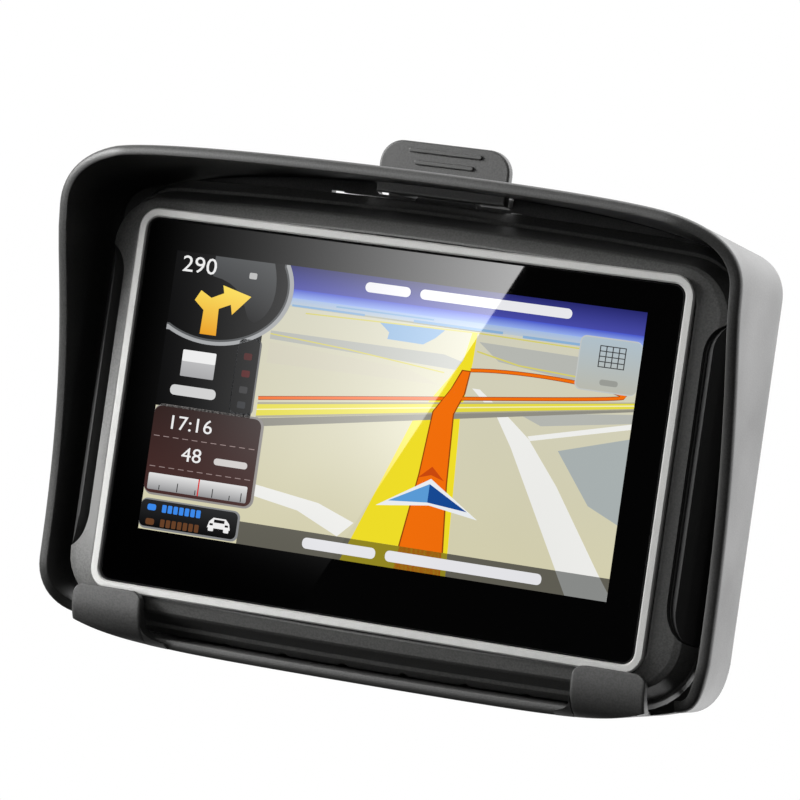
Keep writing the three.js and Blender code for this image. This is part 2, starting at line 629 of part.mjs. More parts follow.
function makeSpring() {
  const section = new THREE.Shape(
    Array.from({ length: 6 }, (_, i) => {
      const angle = (i * Math.PI) / 3;
      return new THREE.Vector2(springWire.r * Math.cos(angle), springWire.r * Math.sin(angle));
    }),
  );
  const geometry = new THREE.ExtrudeGeometry(section, { steps: 84, extrudePath: new TorsionCoil() });
  return solid(geometry);
}

// ---- assembly ----
const unit = new THREE.Group();
unit.add(
  piece("front_housing", makeFrontHousing(), plastic),
  piece("rear_housing", makeRearHousing(), plastic),
  piece("housing_gasket", sealRing(seal.from, seal.to, seal.front, seal.back), softRubber),
  piece("bezel_ring", makeRing(), silver),
  piece("touch_panel", panel(glass, 0, 4), blackGlass),
  piece("lcd_panel", panel(lcd, lcd.front, 2), display),
  piece("display_frame", makeTray(), steel),
  piece("main_board", makeBoard(), circuit),
  piece(
    "battery_pack",
    roundBox(battery.x, battery.z, battery.w, battery.h, battery.r, battery.front, battery.back),
    foil,
  ),
  piece(
    "gps_antenna",
    roundBox(antenna.x, antenna.z, antenna.side, antenna.side, 1.5, antenna.front, antenna.back),
    ceramic,
  ),
  piece("speaker", makeSpeaker(), blackPlastic),
  piece("usb_socket", makeUsbSocket(), steel),
  piece("card_socket", makeCardSocket(), steel),
  piece("power_button", makePowerButton(), softRubber),
  piece("power_switch", makePowerSwitch(), blackPlastic),
  piece("port_cover", makePortCover(), softRubber),
  piece("side_grip_right", makeGrip(), softRubber),
  piece("side_grip_left", mirrored(makeGrip()), softRubber),
  piece("contact_board", box(-13, 13, 18, 19.2, contacts.z - 4.5, contacts.z + 4.5), circuit),
);
screwPlaces().forEach(([x, z], i) => unit.add(piece(`case_screw_${i + 1}`, makeCaseScrew(x, z), steel)));
contactPlaces().forEach((x, i) => {
  const { padW, padH, padFront, padBack, z } = contacts;
  const pad = box(x - padW / 2, x + padW / 2, padFront, padBack, z - padH / 2, z + padH / 2);
  unit.add(piece(`contact_pad_${i + 1}`, pad, gold));
});

const cradle = new THREE.Group();
cradle.add(
  piece("cradle", makeCradle(), plastic),
  piece("visor", makeVisor(), hoodPlastic),
  piece("release_latch", makeLatch(), plastic),
  piece("latch_pin", barX(pin.y, pin.z, pin.r, -pin.half, pin.half, 12), steel),
  piece("latch_spring", makeSpring(), steel),
  piece("contact_block", makeContactBlock(), blackPlastic),
  piece("power_inlet", makeInlet(), blackPlastic),
);
contactPlaces().forEach((x, i) => cradle.add(piece(`contact_pin_${i + 1}`, makeContactPin(x), gold)));
[[1, 1], [1, -1], [-1, 1], [-1, -1]].forEach(([u, v], i) => {
  cradle.add(
    piece(`visor_screw_${i + 1}`, makeVisorScrew(u * visorScrew.x, v * visorScrew.z), steel),
    piece(`mount_insert_${i + 1}`, makeInsert(u * holes.x, v * holes.z), brass),
  );
});

const navigator_in_cradle = new THREE.Group();
navigator_in_cradle.add(unit, cradle);
navigator_in_cradle.position.y = -mountDepth;

export default navigator_in_cradle;
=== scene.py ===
"""Portable navigator in its cradle, under a sun hood: the looks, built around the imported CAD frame.

Shapes are worked out in millimetres: x to the right, d backwards from the cover glass, z up.
"""
import json
import math

import bmesh
import bpy
import numpy as np
from mathutils import Matrix, Vector


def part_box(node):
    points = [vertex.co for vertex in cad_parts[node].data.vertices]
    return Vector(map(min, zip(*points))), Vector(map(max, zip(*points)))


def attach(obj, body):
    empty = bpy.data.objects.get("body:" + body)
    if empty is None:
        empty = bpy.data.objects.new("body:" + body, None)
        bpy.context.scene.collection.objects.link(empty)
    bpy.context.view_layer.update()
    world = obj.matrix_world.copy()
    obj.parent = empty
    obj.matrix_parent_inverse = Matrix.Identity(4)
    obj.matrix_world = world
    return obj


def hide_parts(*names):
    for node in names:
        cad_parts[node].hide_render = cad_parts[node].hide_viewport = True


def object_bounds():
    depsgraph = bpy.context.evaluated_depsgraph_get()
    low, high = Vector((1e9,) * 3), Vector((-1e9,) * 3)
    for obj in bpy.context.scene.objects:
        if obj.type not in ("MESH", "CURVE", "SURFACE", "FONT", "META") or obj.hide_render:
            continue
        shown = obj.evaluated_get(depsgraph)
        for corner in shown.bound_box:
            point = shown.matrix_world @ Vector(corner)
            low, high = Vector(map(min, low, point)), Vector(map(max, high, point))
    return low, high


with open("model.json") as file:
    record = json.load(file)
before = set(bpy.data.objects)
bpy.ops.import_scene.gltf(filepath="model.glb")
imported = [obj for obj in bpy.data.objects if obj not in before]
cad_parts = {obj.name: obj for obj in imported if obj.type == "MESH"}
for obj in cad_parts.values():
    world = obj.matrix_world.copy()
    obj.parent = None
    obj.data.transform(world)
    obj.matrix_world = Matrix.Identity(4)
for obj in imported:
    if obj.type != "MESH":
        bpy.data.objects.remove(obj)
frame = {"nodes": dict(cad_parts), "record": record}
cad_box = [list(corner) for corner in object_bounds()]

MM = 0.001
GLASS_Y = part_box("touch_panel")[0].y


class Span:
    """A CAD node's box in millimetres, with depths from the cover glass."""

    def __init__(self, node):
        low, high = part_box(node)
        self.x0, self.x1 = low.x / MM, high.x / MM
        self.d0, self.d1 = (low.y - GLASS_Y) / MM, (high.y - GLASS_Y) / MM
        self.z0, self.z1 = low.z / MM, high.z / MM
        self.x, self.d, self.z = (self.x0 + self.x1) / 2, (self.d0 + self.d1) / 2, (self.z0 + self.z1) / 2


ring = Span("bezel_ring")
glass = Span("touch_panel")
lcd = Span("lcd_panel")
front = Span("front_housing")
hood = Span("visor")
cradle = Span("cradle")
latch = Span("release_latch")
pin = Span("latch_pin")
block = Span("contact_block")
inlet = Span("power_inlet")
insert = Span("mount_insert_1")
hood_screw = Span("visor_screw_1")

# the unit's top falls away, and its bottom rises, by these times x squared
CROWN, CROWN_LOW = 0.0005, 0.00025
GAP = 0.3
# the thread pitch of the screws and inserts, and the hood screws' holes
PITCH, SCREW_BORE = 0.7, 1.5


# ---- geometry helpers ----
def bezier(points, steps, last=True):
    """Points on a Bezier curve of any degree."""
    control = np.array(points, float)
    degree = len(control) - 1
    t = np.linspace(0, 1, steps + 1)[:, None]
    curve = sum(
        math.comb(degree, k) * (1 - t) ** (degree - k) * t**k * control[k] for k in range(degree + 1)
    )
    return curve if last else curve[:-1]


def softened(points, reach, steps=3, closed=False):
    """Rounds the corners of a line of points, each curve starting at most `reach` before its corner."""
    points = np.array(points, float)
    count = len(points)
    out = []
    for i, corner in enumerate(points):
        if not closed and i in (0, count - 1):
            out.append(corner)
            continue
        before, after = points[i - 1], points[(i + 1) % count]
        to_before, to_after = before - corner, after - corner
        size_before, size_after = np.linalg.norm(to_before), np.linalg.norm(to_after)
        near = min(reach, 0.45 * size_before, 0.45 * size_after)
        start = corner + to_before / size_before * near
        end = corner + to_after / size_after * near
        out.extend(bezier([start, corner, end], steps))
    return np.array(out)


def round_rect(w, top, bottom, r, corner=8, across=14, up=10):
    """A closed (x, z) outline with a fixed number of points, counter-clockwise from the right-hand side."""
    centres = [(w - r, top - r), (-w + r, top - r), (-w + r, bottom + r), (w - r, bottom + r)]
    out = []
    for quarter, (x, z) in enumerate(centres):
        for i in range(corner + 1):
            angle = (quarter + i / corner) * math.pi / 2
            out.append((x + r * math.cos(angle), z + r * math.sin(angle)))
        nx, nz = centres[(quarter + 1) % 4]
        angle = (quarter + 1) * math.pi / 2
        end = np.array((nx + r * math.cos(angle), nz + r * math.sin(angle)))
        begin = np.array(out[-1])
        parts = across if quarter % 2 == 0 else up
        out.extend(tuple(begin + (end - begin) * k / parts) for k in range(1, parts))
    return np.array(out)


def crowned(outline):
    outline = np.array(outline, float)
    outline[:, 1] -= np.where(outline[:, 1] > 0, CROWN, -CROWN_LOW) * outline[:, 0] ** 2
    return outline


def normals(line):
    """Unit vectors to the left of a line of (x, z) points, which is into the hood along its outlines."""
    along = np.gradient(line, axis=0)
    along /= np.linalg.norm(along, axis=1)[:, None]
    return np.column_stack([-along[:, 1], along[:, 0]])


def at_depth(outline, d):
    """An (x, z) outline as points (x, d, z)."""
    return np.column_stack([outline[:, 0], np.full(len(outline), d), outline[:, 1]])


def placed(name, data):
    """A new object in the scene."""
    piece = bpy.data.objects.new(name, data)
    bpy.context.scene.collection.objects.link(piece)
    return piece


def make_mesh(name, points, faces, merge=True):
    data = bpy.data.meshes.new(name)
    points = np.array(points, float) * MM
    points[:, 1] += GLASS_Y
    data.from_pydata(points.tolist(), [], faces)
    bm = bmesh.new()
    bm.from_mesh(data)
    if merge:
        bmesh.ops.remove_doubles(bm, verts=bm.verts, dist=1e-7)
    bmesh.ops.recalc_face_normals(bm, faces=bm.faces)
    bm.to_mesh(data)
    bm.free()
    return placed(name, data)


def loft(name, rows, wrap=False):
    """A closed mesh through closed rows of points. With wrap, the last row joins the first."""
    count = len(rows[0])
    points = np.concatenate(rows)
    faces = []
    pairs = len(rows) if wrap else len(rows) - 1
    for s in range(pairs):
        a, b = s * count, ((s + 1) % len(rows)) * count
        for i in range(count):
            j = (i + 1) % count
            faces.append((a + i, a + j, b + j, b + i))
    if not wrap:
        last = (len(rows) - 1) * count
        faces.append(tuple(range(count)))
        faces.append(tuple(range(last, last + count)))
    return make_mesh(name, points, faces)


def skin_rows(sections, crown=True):
    """Rows of a body of rounded rectangles, from sections (depth, half width, top, bottom, radius)."""
    rows = []
    for d, w, top, bottom, r in sections:
        outline = round_rect(w, top, bottom, r)
        rows.append(at_depth(crowned(outline) if crown else outline, d))
    return rows


def slab(name, outline_at, d0, d1, edge):
    """A slab between two depths with rounded edges. outline_at(inset) gives its (x, z) outline."""
    steps = 3
    angles = [k / steps * math.pi / 2 for k in range(steps + 1)]
    turn = [(edge * (1 - math.sin(angle)), edge * (1 - math.cos(angle))) for angle in angles]
    flat = outline_at(edge + min(edge, 0.05))
    rows = [at_depth(flat, d0)]
    rows += [at_depth(outline_at(inset), d0 + deep) for inset, deep in turn]
    rows += [at_depth(outline_at(inset), d1 - deep) for inset, deep in reversed(turn)]
    rows.append(at_depth(flat, d1))
    return loft(name, rows)


def round_box(name, x0, x1, d0, d1, z0, z1, r, edge, corner=6):
    """A box with corners of radius r, seen from the front, and softened front and back edges."""
    w, h = (x1 - x0) / 2, (z1 - z0) / 2
    middle = np.array([(x0 + x1) / 2, (z0 + z1) / 2])

    def outline(inset):
        return round_rect(w - inset, h - inset, -h + inset, max(r - inset, 0.02), corner, 2, 2) + middle

    return slab(name, outline, d0, d1, edge)


def across_x(name, side_view, x0, x1):
    """A prism from x0 to x1 with a closed side view of (depth, height) points."""
    return loft(name, [np.array([(x, d, z) for d, z in side_view]) for x in (x0, x1)])


def turned(name, profile, centre, axis, sides):
    """A solid of revolution. profile is (along, radius) points, and axis is "x", "d" or "z"."""
    rows = []
    for along, r in profile:
        row = []
        for k in range(sides):
            angle = 2 * math.pi * k / sides
            u, v = r * math.cos(angle), r * math.sin(angle)
            offset = {"x": (along, u, v), "d": (u, along, v), "z": (u, v, along)}[axis]
            row.append(np.array(centre) + offset)
        rows.append(np.array(row))
    return loft(name, rows)


def rod(name, centre, axis, a, b, r, edge=0.0, sides=48):
    """A round bar from a to b along its axis, with softened ends."""
    profile = [(a, r - edge), (a + edge, r), (b - edge, r), (b, r - edge)] if edge else [(a, r), (b, r)]
    return turned(name, profile, centre, axis, sides)


def tube_along(name, path, r):
    """A closed tube along a list of points."""
    sides = 10
    angles = np.arange(sides) * 2 * math.pi / sides
    path = np.array(path, float)
    tangents = np.gradient(path, axis=0)
    tangents /= np.linalg.norm(tangents, axis=1)[:, None]
    side = np.cross(tangents[0], (0.31, 0.22, 0.92))
    rows = []
    for point, tangent in zip(path, tangents):
        side = side - tangent * side.dot(tangent)
        side /= np.linalg.norm(side)
        other = np.cross(tangent, side)
        rows.append(point + r * (np.cos(angles)[:, None] * side + np.sin(angles)[:, None] * other))
    return loft(name, rows)


def final_mesh(piece):
    """A mesh of the object as it stands, with its modifiers."""
    bpy.context.view_layer.update()
    graph = bpy.context.evaluated_depsgraph_get()
    return bpy.data.meshes.new_from_object(piece.evaluated_get(graph))


def evaluated(piece):
    """Applies the piece's modifiers to its mesh."""
    data = final_mesh(piece)
    piece.modifiers.clear()
    piece.data = data
    return piece


def combine(piece, tools, how):
    for tool in tools:
        boolean = piece.modifiers.new("combine", "BOOLEAN")
        boolean.operation = how
        boolean.object = tool
        boolean.solver = "MANIFOLD"
        evaluated(piece)
        bpy.data.objects.remove(tool)
    return piece


def cut(piece, *tools):
    return combine(piece, tools, "DIFFERENCE")


def join(piece, *tools):
    return combine(piece, tools, "UNION")


def bevelled(piece, width, segments, angle):
    bevel = piece.modifiers.new("bevel", "BEVEL")
    bevel.width = width * MM
    bevel.segments = segments
    bevel.limit_method = "ANGLE"
    bevel.angle_limit = math.radians(angle)
    return evaluated(piece)


def smooth(piece, angle):
    """Shades the piece smooth, except over edges that turn by more than the angle."""
    for face in piece.data.polygons:
        face.use_smooth = True
    piece.data.set_sharp_from_angle(angle=math.radians(angle))
    return piece


def flattened(piece):
    """Lets the biggest face at each corner lead its normal, so a flat face beside a curve looks flat."""
    weighted = piece.modifiers.new("flattened", "WEIGHTED_NORMAL")
    weighted.mode = "FACE_AREA"
    weighted.weight = 100
    weighted.keep_sharp = True
    return evaluated(piece)


def mirrored(piece):
    """Turns a right-hand piece into its left-hand twin."""
    piece.data.transform(Matrix.Scale(-1, 4, (1, 0, 0)))
    piece.data.flip_normals()
    return piece


def mirror_copy(piece, name):
    return mirrored(placed(name, piece.data.copy()))


def corners():
    return [(1, 1), (1, -1), (-1, 1), (-1, -1)]


def four_bores(box, d0, d1, r):
    """Bores between two depths, at the four corners where pieces like the box stand."""
    return [rod("bore", (box.x * u, 0, box.z * v), "d", d0, d1, r) for u, v in corners()]


def pin_bore():
    return rod("pin_bore", (0, pin.d, pin.z), "x", -20, 20, 1.3)


# ---- materials ----
class Nodes:
    """A node tree, with helpers that add a node and give its output."""

    def __init__(self, owner):
        owner.use_nodes = True
        self.tree = owner.node_tree

    def put(self, value, socket):
        """Links another node's output to the socket, or sets the socket to a number or colour."""
        if isinstance(value, bpy.types.NodeSocket):
            self.tree.links.new(value, socket)
        else:
            socket.default_value = value

    def add(self, kind, inputs=None, **settings):
        """A new node. inputs gives what goes into its sockets, by name or place."""
        node = self.tree.nodes.new("ShaderNode" + kind)
        for key, value in settings.items():
            setattr(node, key, value)
        for socket, value in (inputs or {}).items():
            self.put(value, node.inputs[socket])
        return node

    def math(self, operation, a, b):
        return self.add("Math", {0: a, 1: b}, operation=operation).outputs[0]

    def mapped(self, value, start, end, low, high, curve="SMOOTHSTEP"):
        """Takes start and end to low and high."""
        ends = {"Value": value, "From Min": start, "From Max": end, "To Min": low, "To Max": high}
        return self.add("MapRange", ends, interpolation_type=curve).outputs["Result"]


class Look(Nodes):
    """A Principled material."""

    def __init__(self, name, **values):
        self.material = bpy.data.materials.new(name)
        super().__init__(self.material)
        self.shader = self.tree.nodes["Principled BSDF"]
        self.coords = self.add("TexCoord").outputs["Object"]
        self.set(**values)

    def set(self, **values):
        for key, value in values.items():
            self.put(value, self.shader.inputs[key.replace("_", " ")])

    def noise(self, scale, detail, stretch=None):
        vector = self.coords
        if stretch:
            vector = self.add("Mapping", {"Vector": vector, "Scale": stretch}).outputs["Vector"]
        return self.add("TexNoise", {"Scale": scale, "Detail": detail, "Vector": vector}).outputs["Fac"]

    def spread(self, value, low, high, start=0.3, end=0.7):
        return self.mapped(value, start, end, low, high, "LINEAR")

    def blend(self, factor, *ends):
        a, b = ((*end, 1) if isinstance(end, tuple) else end for end in ends)
        return self.add("Mix", {0: factor, 6: a, 7: b}, data_type="RGBA").outputs[2]

    def bump(self, height, distance, strength, normal=None):
        node = self.add("Bump", {"Distance": distance, "Strength": strength, "Height": height})
        if normal:
            self.put(normal, node.inputs["Normal"])
        return node.outputs["Normal"]


def tint(colour, share):
    return tuple(c * share for c in colour)


def plastic(name, colour, rough, grain=2600, depth=3e-5, edge_wear_and_highlight=1.5):
    """Moulded plastic: a fine spark grain, uneven sheen, and convex edges painted lighter, partly as wear
    and partly as a painted edge highlight.
    """
    look = Look(name, IOR=1.5)
    speckle = look.spread(look.noise(grain, 1), 0, 1, 0.35, 0.65)
    mottled = look.blend(speckle, tint(colour, 0.8), tint(colour, 1.2))
    # convex edges are painted lighter: partly rubbed wear, partly a painted highlight along the edges
    on_edge = look.spread(look.add("NewGeometry").outputs["Pointiness"], 0, 1, 0.52, 0.6)
    coarse = look.bump(look.noise(grain * 0.35, 2), depth * 1.2, 0.5)
    look.set(
        Base_Color=look.blend(on_edge, mottled, tint(colour, edge_wear_and_highlight)),
        Roughness=look.spread(look.noise(35, 5), rough - 0.05, rough + 0.06),
        Normal=look.bump(look.noise(grain, 3), depth, 0.8, coarse),
    )
    return look.material


def metal(name, colour, rough, brushed=(1, 1, 1), metallic=1.0):
    look = Look(name, Metallic=metallic)
    look.set(
        Base_Color=look.blend(look.noise(140, 3), tint(colour, 0.88), colour),
        Roughness=look.spread(look.noise(900, 3, brushed), rough - 0.06, rough + 0.1),
        Normal=look.bump(look.noise(1800, 2, brushed), 3e-6, 0.6),
    )
    return look.material


def trim_paint():
    look = Look("silver_trim", Metallic=0.15, IOR=1.5)
    flakes = look.noise(5200, 1)
    look.set(
        Base_Color=look.blend(flakes, (0.36, 0.36, 0.35), (0.44, 0.44, 0.43)),
        Roughness=look.spread(look.noise(240, 3), 0.3, 0.42),
        Normal=look.bump(flakes, 2e-6, 0.5),
    )
    return look.material


def polish(look):
    """The faint unevenness of polished glass."""
    return look.spread(look.noise(70, 6), 0.004, 0.014)


def black_glass():
    look = Look("cover_glass", IOR=1.52)
    black = look.blend(look.noise(40, 2), (0.003, 0.003, 0.0035), (0.0045, 0.0045, 0.005))
    look.set(Base_Color=black, Roughness=polish(look))
    return look.material


def lit_screen():
    """The display's picture: each patch's own colour, lit from behind through a fine grid of dots."""
    look = Look("screen_page", Base_Color=(0.004, 0.004, 0.004, 1), IOR=1.52, Emission_Strength=0.95)
    colour = look.add("VertexColor", layer_name="page").outputs["Color"]
    dots = look.add("TexChecker", {"Scale": 5050, "Vector": look.coords}).outputs["Fac"]
    backlight = look.spread(look.noise(22, 2), 0.96, 1.03)
    level = look.math("MULTIPLY", backlight, look.spread(dots, 0.985, 1.0, 0, 1))
    dimmed = look.add("HueSaturation", {"Color": colour, "Value": level})
    look.set(Emission_Color=dimmed.outputs["Color"], Roughness=polish(look))
    return look.material


def rubber(name, colour):
    rough = 0.62
    look = Look(name, IOR=1.48)
    look.set(
        Base_Color=look.blend(look.noise(120, 5), tint(colour, 0.8), tint(colour, 1.25)),
        Roughness=look.spread(look.noise(60, 4), rough - 0.08, rough + 0.08),
        Normal=look.bump(look.noise(3400, 2), 8e-6, 0.7),
    )
    return look.material


def circuit():
    """Solder resist over faint copper areas."""
    look = Look("circuit_board")
    cells = look.add("TexVoronoi", {"Scale": 420, "Vector": look.coords}, distance="MANHATTAN")
    tracks = look.spread(cells.outputs["Distance"], 0, 1, 0.3, 0.34)
    look.set(
        Base_Color=look.blend(tracks, (0.02, 0.13, 0.055), (0.01, 0.07, 0.03)),
        Roughness=look.spread(look.noise(200, 3), 0.25, 0.4),
        Normal=look.bump(tracks, 1.5e-5, 0.8),
    )
    return look.material


LOOKS = {
    "housing_plastic": plastic("housing_plastic", (0.075, 0.075, 0.073), 0.5),
    "cradle_plastic": plastic("cradle_plastic", (0.04, 0.04, 0.039), 0.5, edge_wear_and_highlight=1.12),
    "hood_plastic": plastic("hood_plastic", (0.042, 0.042, 0.041), 0.42, 3000, 2e-5),
    "silver_trim": trim_paint(),
    "cover_glass": black_glass(),
    "display": plastic("display", (0.55, 0.55, 0.5), 0.3, 4000, 3e-6, 1.0),
    "soft_rubber": rubber("soft_rubber", (0.017, 0.017, 0.017)),
    "steel": metal("steel", (0.56, 0.57, 0.58), 0.3, (1, 1, 6)),
    "dark_steel": metal("dark_steel", (0.1, 0.1, 0.105), 0.38, metallic=0.85),
    "circuit_board": circuit(),
    "battery_foil": metal("battery_foil", (0.5, 0.51, 0.53), 0.4, (1, 1, 3)),
    "ceramic": plastic("ceramic", (0.55, 0.44, 0.3), 0.6, 2000, 1e-5, 1.1),
    "black_plastic": plastic("black_plastic", (0.018, 0.018, 0.018), 0.4),
    "gold_contact": metal("gold_contact", (0.86, 0.62, 0.25), 0.22),
    "brass": metal("brass", (0.66, 0.47, 0.19), 0.28, (6, 1, 6)),
}
NODE_SLOT = {row["node"]: row["material_slot"] for row in frame["record"]["subparts"]}


def dress(piece, slot):
    piece.data.materials.clear()
    piece.data.materials.append(LOOKS[slot])


def finish_piece(piece, body, slot, *nodes, angle=32):
    """Shades the piece, gives it its material, and sets it on its body in place of its CAD nodes."""
    flattened(smooth(piece, angle))
    dress(piece, slot)
    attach(piece, body)
    if nodes:
        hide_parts(*nodes)
    return piece


# ---- the unit's front ----
def front_sections(inset=0.0):
    """The unit's stepped front, as sections for skin_rows. Each step says how far in its sides lie."""
    steps = [
        (0.6, 7.4, 7.2, 7.1, 4.9),
        (1.9, 3.4, 4.9, 4.7, 8.5),
        (2.6, 2.0, 4.4, 4.2, 9.2),
        (8.3, 0.4, 2.5, 2.2, 11.0),
        (8.6, 0.3, 1.8, 1.4, 11.4),
        (9.1, 0.25, 1.5, 1.1, 11.6),
        (front.d1, 0.0, 0.0, 0.0, 13.0),
    ]
    return [
        (d + inset, front.x1 - side - inset, front.z1 - top, front.z0 + low, r)
        for d, side, top, low, r in steps
    ]


GRIP_END = 9.6


def grip_outline(inset):
    """The D-shaped field at the right-hand end, moved inwards."""
    edge, out = 59.1 + inset, front.x1 + 3

    def corner(z, away, full):
        return [
            (edge, z),
            (edge + 0.2, z + away * (0.54 * full - 0.3 * inset)),
            (edge + 1.9 - 0.2 * inset, z + away * (0.88 * full - 0.8 * inset)),
            (65, z + away * (full - inset)),
        ]

    lower, upper = bezier(corner(-23, -1, 7.9), 16), bezier(corner(23.5, 1, 6.5), 16)
    ends = [(out, lower[-1][1] - 0.5), (out, upper[-1][1] + 0.3)]
    return np.concatenate([lower, ends, upper[::-1]])


def drain_notches():
    """Short channels in the unit's lower edge, just above the cradle's rail."""
    pitch, count = 12.5, 6
    places = [(k - (count - 1) / 2) * pitch for k in range(count)]
    return [rod("drain", (x, 0, -45.45), "d", 9.4, 14, 1.05, sides=24) for x in places]


def make_front_shell():
    seat = (ring.x1 + GAP, ring.z1 + GAP, ring.z0 - GAP, 4.5)
    opening = (lcd.x1 + 0.5, lcd.z1 + 0.6, lcd.z0 - 0.6, 1.0)
    outside = softened(front_sections(), 0.22, 2)
    cavity = [(11.4, 61.3, 42.3, -41.6, 9.8), (6.4, 60.2, 40, -39.8, 8), (3.6, 57.4, 38.4, -38.2, 6)]
    inside = [(3.6, *opening), (1.7, *opening), (1.7, *seat), (0.6, *seat)]
    shell = loft("front_shell", skin_rows([*outside, *cavity, *inside]), wrap=True)
    for left in (False, True):
        core = loft("core", skin_rows(front_sections(1.5)))
        recess = cut(loft("recess", [at_depth(grip_outline(0), d) for d in (-1, GRIP_END)]), core)
        cut(shell, mirrored(recess) if left else recess)
    cut(shell, *drain_notches())
    bevelled(shell, 0.18, 2, 35)
    return finish_piece(shell, "root", "housing_plastic", "front_housing", angle=18)


def make_grips():
    """The end pads: each rises from a groove along its D to a narrow crest, then falls away outwards."""
    crest = [(0.8, 61.1), (3.0, 62.6), (6.0, 63.9), (GRIP_END, 64.3)]
    outer = loft("grip_outer", skin_rows(softened([(d, w, 40, -40, 9) for d, w in crest], 0.6)))
    inner = loft("grip_inner", skin_rows(front_sections(1.2)))
    foot = [(0.8, 1.8), (3.0, GAP), (GRIP_END - GAP, GAP)]
    grip = loft("side_grip_right_pad", [at_depth(grip_outline(inset), d) for d, inset in foot])
    combine(grip, [outer], "INTERSECT")
    cut(grip, inner)
    bevelled(grip, 0.35, 3, 30)
    other = mirror_copy(grip, "side_grip_left_pad")
    finish_piece(grip, "root", "soft_rubber", "side_grip_right")
    finish_piece(other, "root", "soft_rubber", "side_grip_left")


def make_ring():
    """The trim ring: a flat face with a rolled outer edge and a small step down to the glass."""
    lip, r = 1.75, 4.2
    profile = [
        (ring.d1, 0.0),
        (ring.d0 + 0.28, 0.0),
        (ring.d0, 0.28),
        (ring.d0, lip - 0.3),
        (ring.d0 + 0.3, lip),
        (ring.d1, lip),
    ]
    rows = [
        (d, ring.x1 - inset, ring.z1 - inset, ring.z0 + inset, r - inset)
        for d, inset in softened(profile, 0.06, 2, closed=True)
    ]
    piece = loft("trim_ring", skin_rows(rows, crown=False), wrap=True)
    return finish_piece(piece, "root", "silver_trim", "bezel_ring", angle=22)


def make_glass():
    def outline(inset):
        return round_rect(glass.x1 - inset, glass.z1 - inset, glass.z0 + inset, 2.2 - inset)

    piece = slab("cover_glass", outline, glass.d0, glass.d1, 0.15)
    return finish_piece(piece, "root", "cover_glass", "touch_panel")


# ---- the sun hood ----
HOOD_WALL = 2.2


def hood_outline(at_front):
    """The hood's outer (x, z) outline at its brim or its back, from its right foot to its left foot."""
    w = hood.x1
    foot = bezier([(61.7, -43.2), (68.2, -42.4), (w, -33)], 12, last=False)
    side = bezier([(w, -33), (w, 35)], 16, last=False)
    if at_front:
        corner = bezier([(w, 35), (w, 42.4), (63, 46.4), (54, 47.8)], 16, last=False)
        top = bezier([(54, 47.8), (46, 49), (25, 49.4), (0, 49.4)], 18)
    else:
        corner = bezier([(w, 35), (w, 39.6), (66, 42.6), (61.6, 43.6)], 16, last=False)
        top = bezier([(61.6, 43.6), (51, 46.3), (43, 50.4), (0, 50.4)], 18)
    right = np.concatenate([foot, side, corner, top])
    left = right[-2::-1] * (-1, 1)
    return np.concatenate([right, left])


def rim_depth(z):
    """How deep the hood's swept-back rim lies at height z."""
    foot = bezier([(7.5, -43.4), (2, -40.6), (0.9, -35)], 12)
    sweep = bezier([(0.9, -35), (1.4, -3), (-5.2, 13), (-10.8, 28)], 24)
    brim = bezier([(-10.8, 28), (-13.4, 35), (-12, 43), (hood.d0, 47.4)], 16)
    line = np.concatenate([foot, sweep, brim])
    return np.interp(z, line[:, 1], line[:, 0])


def lip_reach(point, normal):
    """How far in from the hood's back edge its inner lip ends, just above the unit."""
    w, top, r = 63.0, 45.1, 13.0
    for reach in np.arange(HOOD_WALL, 12, 0.05):
        x, z = point + normal * reach
        z += CROWN * x * x
        dx, dz = max(abs(x) - (w - r), 0), max(z - (top - r), 0)
        if math.hypot(dx, dz) <= r:
            return reach
    return HOOD_WALL


def make_hood():
    brim, back = hood_outline(True), hood_outline(False)
    brim_in, back_in = normals(brim), normals(back)
    d_brim, d_back, d_lip = hood.d0 - 1, 15.6, 13.4

    def at(i, d, offset):
        """The point at depth d and this far inside the hood's skin, on its i-th line from brim to back."""
        share = (d - d_brim) / (d_back - d_brim)
        x, z = (1 - share) * (brim[i] + brim_in[i] * offset) + share * (back[i] + back_in[i] * offset)
        return (x, d, z)

    rows = []
    for i in range(len(brim)):
        rim = 0.0
        for _ in range(6):
            rim = float(rim_depth(at(i, rim, 0)[2]))
        reach = lip_reach(back[i], back_in[i]) if back[i][1] > -38 else HOOD_WALL + 0.3
        outside = [(float(d), 0.0) for d in np.linspace(d_back, rim + 1.2, 11)]
        inside = [(float(d), HOOD_WALL) for d in np.linspace(rim, d_lip, 9)]
        loop = [*outside, (rim + 0.35, 0.35), (rim, 1.2), *inside, (d_lip, reach), (d_back, reach)]
        rows.append(np.array([at(i, d, offset) for d, offset in softened(loop, 0.35, 3, closed=True)]))
    piece = loft("sun_hood", rows)
    openings = [
        round_box("notch", -13.9, 13.9, 9.6, 40, 45.75, 60, 0.6, 0.1),
        round_box("tooth_slot", -6.8, 6.8, 9.6, 40, 40, 60, 0.3, 0.1),
    ]
    for x0, x1, high in ((-23.4, -20.8, 0.6), (-21, -8, 0.3), (13.8, 16, 0.3)):
        edge = 45.1 - CROWN * max(x0**2, x1**2)
        openings.append(round_box("relief", x0, x1, 12.4, 16.6, edge - 1, edge + high, 0.1, 0.02))
    lugs = []
    for u, v in corners():
        x, z = hood_screw.x * u, hood_screw.z * v
        inner, outer = sorted((x - 2.6 * u, x + 3.6 * u))
        lugs.append(round_box("lug", inner, outer, 16.4, 22.2, z - 3.6, z + 3.6, 1.0, 0.4))
        inner, outer = sorted((63.4 * u, x + 3.3 * u))
        lugs.append(round_box("lug", inner, outer, 13.6, 21.8, z - 3.2, z + 3.2, 0.8, 0.3))
    cut(piece, *openings)
    join(piece, *lugs)
    cut(piece, *four_bores(hood_screw, 17.3, 24, SCREW_BORE))
    return finish_piece(piece, "root", "hood_plastic", "visor")


